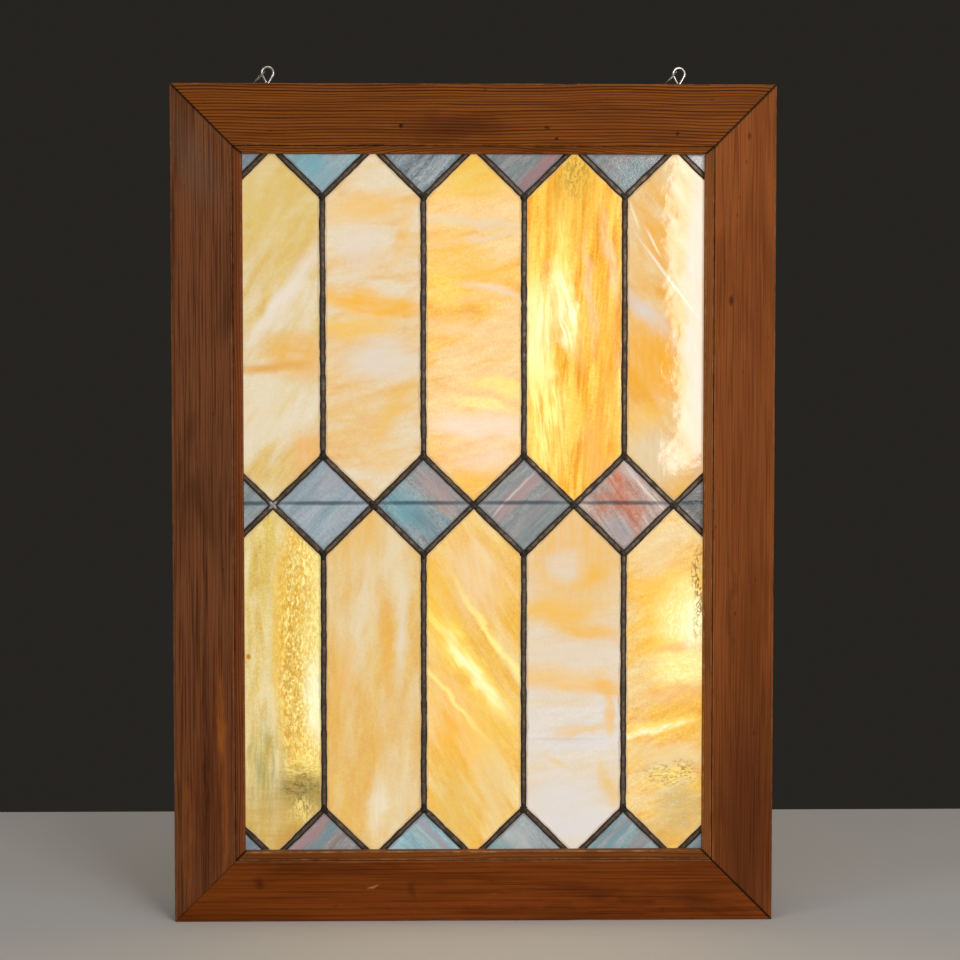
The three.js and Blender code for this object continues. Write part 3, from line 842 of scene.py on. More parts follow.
def makeRails():
    s = railShape
    half = s["depth"] / 2
    lipY = half - s["lipDepth"]
    corners = [
        (0, -half, s["frontArris"]),
        (s["face"], -half, s["innerArris"]),
        (s["face"], lipY, 0.2),
        (s["face"] + s["lip"], lipY, s["innerArris"]),
        (s["face"] + s["lip"], half, s["innerArris"]),
        (0, half, s["backArris"]),
    ]
    spacings = [s["faceStep"], s["backStep"], s["lip"], s["backStep"], s["backStep"], s["backStep"]]
    middle, width, height = frameSize()
    for seed, (node, quarter) in enumerate(railSides.items()):
        upright = quarter % 2 == 1
        length = height if upright else width
        across = width if upright else height
        piece = barAlongSide(node + "_wood", corners, spacings, length, across, (1, 1), quarter,
                             middle, s["arrisWear"], railNicks[node], 11 + 7 * seed,
                             closedMitres.get(node, 0))
        look = woodMaterial(node + "_finish", woodLooks[node], upright, woodMarks[node])
        settle(piece, look, "frame_wood", node)


stopShape = {
    "depth": 11.0,
    "play": 0.4,
    "sideWidth": 9.8,
    "sillWidth": 9.8,
    "headWidth": 7.8,
    "outerArris": 0.5,
    "innerArris": 1.5,
    "backArris": 0.3,
    "arrisWear": 0.25,
}

stopLooks = {
    "top_stop": {
        "early": "#9C5A1E", "late": "#3E1200", "stain": "#5A2408", "worn": "#B97C4C",
        "rings": 0.0026, "waves": 0.0075, "contrast": 0.85, "fibre": 0.4, "stained": 0.5,
        "specks": 0.6, "wear": 0.4, "film": 0.0, "rough": 0.56, "bump": 0.5, "seed": 2.2,
    },
    "bottom_stop": {
        "early": "#965826", "late": "#622C0C", "stain": "#4C2008", "worn": "#CA9260",
        "rings": 0.0040, "waves": 0.0030, "contrast": 0.6, "fibre": 0.45, "stained": 0.4,
        "specks": 0.4, "wear": 0.75, "film": 0.0, "rough": 0.56, "bump": 0.5, "seed": 6.9,
    },
    "left_stop": {
        "early": "#93522A", "late": "#4A220E", "stain": "#482210", "worn": "#AC7448",
        "rings": 0.0030, "waves": 0.0020, "contrast": 0.85, "fibre": 0.4, "stained": 0.4,
        "specks": 0.3, "wear": 0.5, "film": 0.0, "rough": 0.56, "bump": 0.5, "seed": 4.4,
    },
    "right_stop": {
        "early": "#A06030", "late": "#643416", "stain": "#582A0E", "worn": "#C8966C",
        "rings": 0.0024, "waves": 0.0018, "contrast": 0.7, "fibre": 0.4, "stained": 0.35,
        "specks": 0.3, "wear": 0.5, "film": 0.0, "rough": 0.56, "bump": 0.5, "seed": 7.7,
    },
}


def makeStops():
    s = stopShape
    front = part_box("bottom_stop")[0].y / mm
    back = front + s["depth"]
    middle, width, height = frameSize()
    width -= 2 * railShape["face"]
    height -= 2 * railShape["face"]
    headRun = s["sideWidth"] / s["headWidth"]
    sides = {
        "bottom_stop": (0, s["sillWidth"], width, height, (1, 1)),
        "left_stop": (1, s["sideWidth"], height, width, (1, 1 / headRun)),
        "top_stop": (2, s["headWidth"], width, height, (headRun, headRun)),
        "right_stop": (3, s["sideWidth"], height, width, (1 / headRun, 1)),
    }
    for seed, (node, (quarter, thick, length, between, runs)) in enumerate(sides.items()):
        corners = [
            (s["play"], front, s["outerArris"]),
            (thick, front, s["innerArris"]),
            (thick, back, s["backArris"]),
            (s["play"], back, s["backArris"]),
        ]
        piece = barAlongSide(node + "_wood", corners, [1.2, 2.5, 4.0, 5.0], length, between, runs,
                             quarter, middle, s["arrisWear"], [], 53 + 5 * seed)
        look = woodMaterial(node + "_finish", stopLooks[node], quarter % 2 == 1)
        settle(piece, look, "stop_wood", node)


# ---- leaded panel

# distance of the panes, distance of the rows of crossings, height of half a diamond
leadLayout = {
    "pitch": 106.0,
    "rowHeight": 376.0,
    "tipHeight": 52.0,
    "columns": 5,
}

cameShape = {
    "width": 6.3,
    "thickness": 6.2,
    "channel": 3.6,
    "heart": 1.5,
    "step": 3.4,
    "widthWander": 0.10,
    "widthSize": 7.0,
    "fineWander": 0.05,
    "fineSize": 2.6,
    "sideWander": 0.28,
    "sideSize": 45.0,
    "sideFade": 12.0,
    "crownWander": 0.16,
    "crownSize": 9.0,
    "borderShare": 0.3,  # of the wander, as the border is held by the stops
}

solderShape = {
    "reach": 9.5,
    "core": 3.9,
    "legWidth": 0.42,
    "height": 0.3,
    "sunk": 0.6,
    "roundness": 2.4,
    "edgeWander": 0.55,
    "lump": 0.16,
    "lumpSize": 1.6,
    "fromBorder": 6.0,
    "sectors": 44,
    "rings": 9,
}


def leadMiddle():
    low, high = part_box("lead_came")
    return (low + high) / 2, (high.x - low.x) / mm, (high.z - low.z) / mm


def clippedLine(start, end, halfWidth, halfHeight):
    # the part of a straight line that lies inside the border, or nothing
    first = 0.0
    last = 1.0
    for a, b, limit in ((start[0], end[0], halfWidth), (start[1], end[1], halfHeight)):
        for sign in (-1, 1):
            run = sign * (b - a)
            room = limit - sign * a
            if abs(run) < 1e-9:
                if room < -1e-9:
                    return None
                continue
            if run > 0:
                last = min(last, room / run)
            else:
                first = max(first, room / run)
    if last - first < 0.02:
        return None
    return tuple((start[0] + t * (end[0] - start[0]), start[1] + t * (end[1] - start[1]))
                 for t in (first, last))


def leadLines():
    p = leadLayout
    _, width, height = leadMiddle()
    halfWidth = width / 2 - cameShape["width"] / 2
    halfHeight = height / 2 - cameShape["width"] / 2
    columns = [(i - p["columns"] / 2) * p["pitch"] for i in range(p["columns"] + 1)]
    half = p["pitch"] / 2
    lines = []
    for z in (p["rowHeight"], 0, -p["rowHeight"]):
        for x in columns:
            tips = [(x - half, z), (x, z + p["tipHeight"]), (x + half, z), (x, z - p["tipHeight"])]
            for k in range(4):
                lines.append(clippedLine(tips[k], tips[(k + 1) % 4], halfWidth, halfHeight))
    shoulder = p["rowHeight"] / 2 - p["tipHeight"]
    for z in (p["rowHeight"] / 2, -p["rowHeight"] / 2):
        for x in columns[1:-1]:
            lines.append(((x, z - shoulder), (x, z + shoulder)))
    lines = [line for line in lines if line]
    w = halfWidth
    h = halfHeight
    edge = cameShape["width"] / 2
    border = [((-w - edge, -h), (w + edge, -h)), ((w, -h - edge), (w, h + edge)),
              ((w + edge, h), (-w - edge, h)), ((-w, h + edge), (-w, -h - edge))]
    return lines, border, (halfWidth, halfHeight)


def cameSection():
    # an H on its side with rounded faces, as across, depth and how near it is to the crown
    s = cameShape
    wide = s["width"] / 2
    slot = s["channel"] / 2
    heart = s["heart"] / 2
    rise = s["thickness"] / 2 - slot
    angles = np.linspace(0, math.pi, 11)
    face = [(wide * math.cos(a), slot + rise * math.sin(a) ** 0.75, math.sin(a)) for a in angles]
    front = [(x, -y, crown) for x, y, crown in face]
    back = [(x, y, crown) for x, y, crown in face[::-1]]
    section = front + [(-heart, -slot, 0), (-heart, slot, 0)] + back + [(heart, slot, 0), (heart, -slot, 0)]
    return np.array(section[::-1])


def cameStretch(line, seed, straight=False):
    s = cameShape
    (x0, z0), (x1, z1) = line
    length = math.hypot(x1 - x0, z1 - z0)
    rows = max(3, round(length / s["step"]))
    along = np.linspace(0, length, rows)[:, None]
    section = cameSection()
    wander = s["borderShare"] if straight else 1.0
    key = along + seed * 37.0
    widen = 1 + s["widthWander"] * wander * smoothNoise(key, 0 * key, s["widthSize"], seed + 400)
    widen = widen + s["fineWander"] * wander * smoothNoise(key, 0 * key, s["fineSize"], seed + 600)
    fade = np.clip(np.minimum(along, length - along) / s["sideFade"], 0, 1)
    shift = s["sideWander"] * wander * smoothNoise(key, 0 * key, s["sideSize"], seed + 500) * fade
    crown = 1 + s["crownWander"] * smoothNoise(key, 0 * key, s["crownSize"], seed + 700)
    across = section[:, 0] * widen + shift
    slot = s["channel"] / 2
    rise = np.abs(section[:, 1]) - slot
    depth = np.sign(section[:, 1]) * (slot + rise * crown)
    ux = (x1 - x0) / length
    uz = (z1 - z0) / length
    x = x0 + along * ux + across * uz
    z = z0 + along * uz - across * ux
    points = np.stack([x, depth, z], -1).reshape(-1, 3)
    faces = gridQuads(rows, len(section), True).tolist() + endCaps(rows, len(section))
    return points, faces, np.tile(section[:, 2], rows)


def joinParts(parts):
    points = []
    faces = []
    tones = []
    for partPoints, partFaces, partTones in parts:
        shift = sum(len(p) for p in points)
        points.append(partPoints)
        tones.append(partTones)
        faces.extend([[k + shift for k in face] for face in partFaces])
    return np.concatenate(points), faces, np.concatenate(tones)


def solderDrop(joint, legs, facing, seed):
    # a flowed drop over a joint, drawn out along each came that meets there
    s = solderShape
    angles = np.linspace(0, 2 * math.pi, s["sectors"], endpoint=False)
    reach = np.full(len(angles), s["core"])
    for leg in legs:
        apart = np.abs((angles - leg + math.pi) % (2 * math.pi) - math.pi)
        pull = np.exp(-(apart / s["legWidth"]) ** 2)
        reach = np.maximum(reach, s["core"] + (s["reach"] - s["core"]) * pull)
    reach = reach + s["edgeWander"] * smoothNoise(angles * 3 + seed * 11, angles * 0, 1.0, seed + 900)
    crown = cameShape["thickness"] / 2 + s["height"]
    base = cameShape["channel"] / 2 - s["sunk"]
    rounds = s["rings"] - 1
    points = []
    tones = []
    for k in range(rounds):
        part = 1 - k / rounds
        bulge = math.sqrt(max(0.0, 1 - part ** s["roundness"]))
        acrossDrop = np.cos(angles) * part * 5 + seed * 3
        lumps = s["lump"] * smoothNoise(acrossDrop, np.sin(angles) * part * 5, s["lumpSize"], seed)
        height = base + (crown - base) * bulge + lumps * (1 - part)
        x = joint[0] + reach * part * np.cos(angles)
        z = joint[1] + reach * part * np.sin(angles)
        points.append(np.stack([x, height * facing, z], -1))
        tones += [0.15 + 0.75 * bulge] * s["sectors"]
    # the top of the drop, and a point inside the came that closes it below
    points += [[[joint[0], crown * facing, joint[1]]], [[joint[0], 0.0, joint[1]]]]
    tones += [0.9, 0.1]
    top = rounds * s["sectors"]
    under = top + 1
    pairs = [(k, (k + 1) % s["sectors"]) for k in range(s["sectors"])]
    faces = gridQuads(rounds, s["sectors"], True).tolist()
    faces += [[top - s["sectors"] + k, top - s["sectors"] + after, top] for k, after in pairs]
    faces += [[after, k, under] for k, after in pairs]
    if facing > 0:
        faces = [face[::-1] for face in faces]
    return np.concatenate(points), faces, np.array(tones)


def jointsOf(lines, halfWidth, halfHeight):
    # every crossing away from the border, with the angles of the cames that meet there
    margin = solderShape["fromBorder"]
    met = {}
    for (x0, z0), (x1, z1) in lines:
        for here, there in (((x0, z0), (x1, z1)), ((x1, z1), (x0, z0))):
            key = (round(here[0], 2), round(here[1], 2))
            met.setdefault(key, []).append(math.atan2(there[1] - here[1], there[0] - here[0]))
    return {(x, z): legs for (x, z), legs in met.items()
            if abs(x) < halfWidth - margin and abs(z) < halfHeight - margin}


leadLooks = {
    "came": {"dark": "#2E2114", "mid": "#4E3F30", "light": "#8A7762", "bloom": 0.3, "metallic": 0.35},
    "border": {"dark": "#2A2725", "mid": "#5A5550", "light": "#8F8982", "bloom": 0.3, "metallic": 0.45},
    "solder": {"dark": "#15100B", "mid": "#30271E", "light": "#6A5C4C", "bloom": 0.2, "metallic": 0.5},
    "brightSolder": {"dark": "#5A5A5C", "mid": "#B4B4B8", "light": "#F0F0F2", "bloom": 0.1,
                     "metallic": 0.6},
}


def leadMaterial(name, look):
    made, tree, shader = newMaterial(name)
    patina = useGroup(tree, "leadPatinaAndPaintedLight", crown=attributeOf(tree, "crown"), dark=look["dark"],
                      mid=look["mid"], light=look["light"], blotchScale=140.0, bloom=look["bloom"])
    dusted = useGroup(tree, "settledDust", color=patina["Color"], dustColor="#8A8378", amount=0.3,
                      film=0.05)
    setShader(tree, shader, baseColor=dusted["Color"], roughness=patina["Gloss Mask"],
              metallic=look["metallic"], specular=0.5,
              normal=bumpOf(tree, patina["Height"], 0.0005, 0.55))
    return made


def makeLead():
    middle, _, _ = leadMiddle()
    lines, border, reach = leadLines()
    groups = {
        "lead_came_lines": ("came", [cameStretch(line, k) for k, line in enumerate(lines)]),
        "lead_came_border": ("border", [cameStretch(line, 300 + k, True) for k, line in enumerate(border)]),
    }
    drops = []
    bright = []
    brightJoint = (-leadLayout["pitch"] * 2, 0.0)  # freshly soldered on its front
    for seed, (joint, legs) in enumerate(sorted(jointsOf(lines, *reach).items())):
        for facing in (-1, 1):
            target = bright if math.dist(joint, brightJoint) < 1 and facing < 0 else drops
            target.append(solderDrop(joint, legs, facing, seed))
    groups["solder_joints"] = ("solder", drops)
    groups["bright_solder_joint"] = ("brightSolder", bright)
    for name, (lookName, parts) in groups.items():
        points, faces, tones = joinParts(parts)
        piece = meshFrom(name, points * mm + np.array(middle), faces, 50.0, {"crown": tones})
        nodes = ["lead_came"] if name == "lead_came_lines" else []
        settle(piece, leadMaterial(name + "_finish", leadLooks[lookName]), "lead", *nodes)


# ---- glass

glassShape = {
    "step": 2.2,
    "leastHeight": 0.9,
    "frontRelief": 0.22,
    "waveSize": 32.0,
    "pebbleSize": 4.6,
    "backRelief": 0.08,
    "backSize": 18.0,
    "edgeCover": 2.2,
    "edgeShade": 3.4,
}


def hullChains(node):
    # the lower and upper edge of a convex pane, each as rising x with its z
    coords = np.array([v.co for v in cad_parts[node].data.vertices])
    flat = sorted({(round(x, 6), round(z, 6)) for x, _, z in coords})
    chains = []
    for sign in (1, -1):
        chain = []
        for point in flat:
            while len(chain) > 1:
                (ax, az), (bx, bz) = chain[-2:]
                if sign * ((bx - ax) * (point[1] - az) - (bz - az) * (point[0] - ax)) > 0:
                    break
                chain.pop()
            chain.append(point)
        chains.append(np.array(chain))
    return chains


def paneMesh(name, node, relief, seed):
    s = glassShape
    lower, upper = hullChains(node)
    low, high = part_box(node)
    # the outermost slivers, which lie inside the lead, are left off
    xs = np.linspace(low.x, high.x, 400)
    tall = np.interp(xs, upper[:, 0], upper[:, 1]) - np.interp(xs, lower[:, 0], lower[:, 1])
    xs = xs[tall > s["leastHeight"] * mm]
    step = s["step"] * mm
    columns = max(4, round((xs[-1] - xs[0]) / step))
    rows = max(4, round(tall.max() / step))
    x = np.linspace(xs[0], xs[-1], columns + 1)
    bottom = np.interp(x, lower[:, 0], lower[:, 1])
    top = np.interp(x, upper[:, 0], upper[:, 1])
    v = np.linspace(0, 1, rows + 1)[:, None]
    z = bottom + (top - bottom) * v
    xGrid = np.broadcast_to(x, z.shape)
    turn = math.radians(relief["turn"])
    u = (xGrid * math.cos(turn) + z * math.sin(turn)) / mm
    w = (-xGrid * math.sin(turn) + z * math.cos(turn)) / mm
    ripples = smoothNoise(u, w / relief["stretch"], relief["size"], seed)
    waves = smoothNoise(u, w, s["waveSize"], seed + 1)
    pebbles = smoothNoise(u, w, s["pebbleSize"], seed + 2)
    lift = 0.45 * waves + 0.4 * ripples * relief["ripple"] + 0.3 * pebbles * relief["pebble"]
    front = low.y + mm * s["frontRelief"] * (1.0 + np.clip(lift, -1, 1))
    back = high.y - mm * s["backRelief"] * (1.0 + smoothNoise(u, w, s["backSize"], seed + 3))
    count = z.size
    points = np.concatenate([
        np.stack([xGrid, front, z], -1).reshape(-1, 3),
        np.stack([xGrid, back, z], -1).reshape(-1, 3),
    ])
    faces = gridQuads(rows + 1, columns + 1, False)
    rim = list(range(columns + 1))
    rim += [(r + 1) * (columns + 1) + columns for r in range(rows)]
    rim += [rows * (columns + 1) + c for c in range(columns - 1, -1, -1)]
    rim += [r * (columns + 1) for r in range(rows - 1, 0, -1)]
    walls = []
    for k, here in enumerate(rim):
        after = rim[(k + 1) % len(rim)]
        walls.append([here, here + count, after + count, after])
    faces = faces.tolist() + (faces[:, ::-1] + count).tolist() + walls
    # distance from the pane's edge, as a mask that is 1 at the came, where the pane is darkened with grime
    # and painted shade
    outline = np.concatenate([lower, upper[::-1]])
    nearest = np.full(z.shape, 1e9)
    for k in range(len(outline)):
        a = outline[k]
        b = outline[(k + 1) % len(outline)]
        span = b - a
        size = np.hypot(*span)
        if size < 1e-6:
            continue
        away = np.abs((xGrid - a[0]) * span[1] - (z - a[1]) * span[0]) / size
        nearest = np.minimum(nearest, away)
    edge = np.clip(1 - (nearest / mm - s["edgeCover"]) / s["edgeShade"], 0, 1)
    return meshFrom(name, points, faces, 60.0, {"edge": np.tile(edge.ravel(), 2)})


def glassMaterial(name, look, box):
    made, tree, shader = newMaterial(name)
    low, high = box
    coords = turned(tree, objectCoords(tree), math.radians(-look["turn"]))
    streaks = useGroup(tree, "opalStreaks", vector=coords, milk=look["milk"],
                       tint=look["tint"], deep=look["deep"], scale=look["scale"],
                       stretch=look["stretch"], warp=look["warp"], balance=look["balance"],
                       softness=look["soft"], deepAmount=look["deepAmount"],
                       strands=look["strands"], sparkle=look["sparkle"], seed=look["seed"])
    marks = []
    for tone, (across, up), size, angle, finish in look["marks"]:
        at = (low.x / mm + across * (high.x - low.x) / mm, low.z / mm + up * (high.z - low.z) / mm)
        marks.append(mark(tone, at, size, angle, **finish))
    color = applyMarks(tree, streaks["Color"], marks) if marks else streaks["Color"]
    # darker along the came: partly grime, partly painted shade where the lead holds back the light from
    # behind
    edgeGrimeAndShade = useGroup(tree, "edgeWearAndShade", color=color, mask=attributeOf(tree, "edge"),
                     wornColor=look["edgeGrimeAndShade"], amount=0.5, patchScale=40.0, reach=0.62)
    # the pane's colour is also its emission: a painted glow that stands in for light shining through the
    # glass from behind, its strength given per pane
    glow = edgeGrimeAndShade["Color"]
    body = mixColors(tree, 1.0, glow, look["bodyTone"], "MULTIPLY")
    setShader(tree, shader, baseColor=body, emissionColor=glow, emissionStrength=look["glow"],
              transmissionWeight=0.25, roughness=look["rough"], metallic=0.0, ior=1.5,
              specular=look["specular"],
              normal=bumpOf(tree, streaks["Height"], 0.0006, look["bump"]))
    return made


def spot(color, across, up, halfWidth, halfHeight, turn, **finish):
    # a mark on a pane: its middle as a share of the pane, half sizes in mm, turn in degrees
    finish = {"streaks": 0.25, "ragged": 0.35, **finish}
    return color, (across, up), (halfWidth, halfHeight), turn, finish


glassDefaults = {
    "amber": {
        "deep": "#DFA03A", "turn": 0, "scale": 22.0, "stretch": 2.5, "warp": 0.9, "balance": 0.5,
        "soft": 0.10, "deepAmount": 0.2, "strands": 0.08, "sparkle": 0.14, "glow": 0.78, "rough": 0.07,
        "bump": 0.25, "edgeGrimeAndShade": "#B79C7C", "bodyTone": "#8A8A8A", "marks": [],
        "ripple": 1.0, "pebble": 0.3, "size": 9.0, "specular": 0.5,
    },
    "blue": {
        "deep": "#6A7F8A", "turn": 45, "scale": 60.0, "stretch": 7.0, "warp": 0.5, "balance": 0.5,
        "soft": 0.09, "deepAmount": 0.4, "strands": 0.5, "sparkle": 0.2, "glow": 0.66, "rough": 0.10,
        "bump": 0.35, "edgeGrimeAndShade": "#6C737C", "bodyTone": "#909090", "marks": [],
        "ripple": 1.0, "pebble": 0.4, "size": 6.0, "specular": 0.5,
    },
}

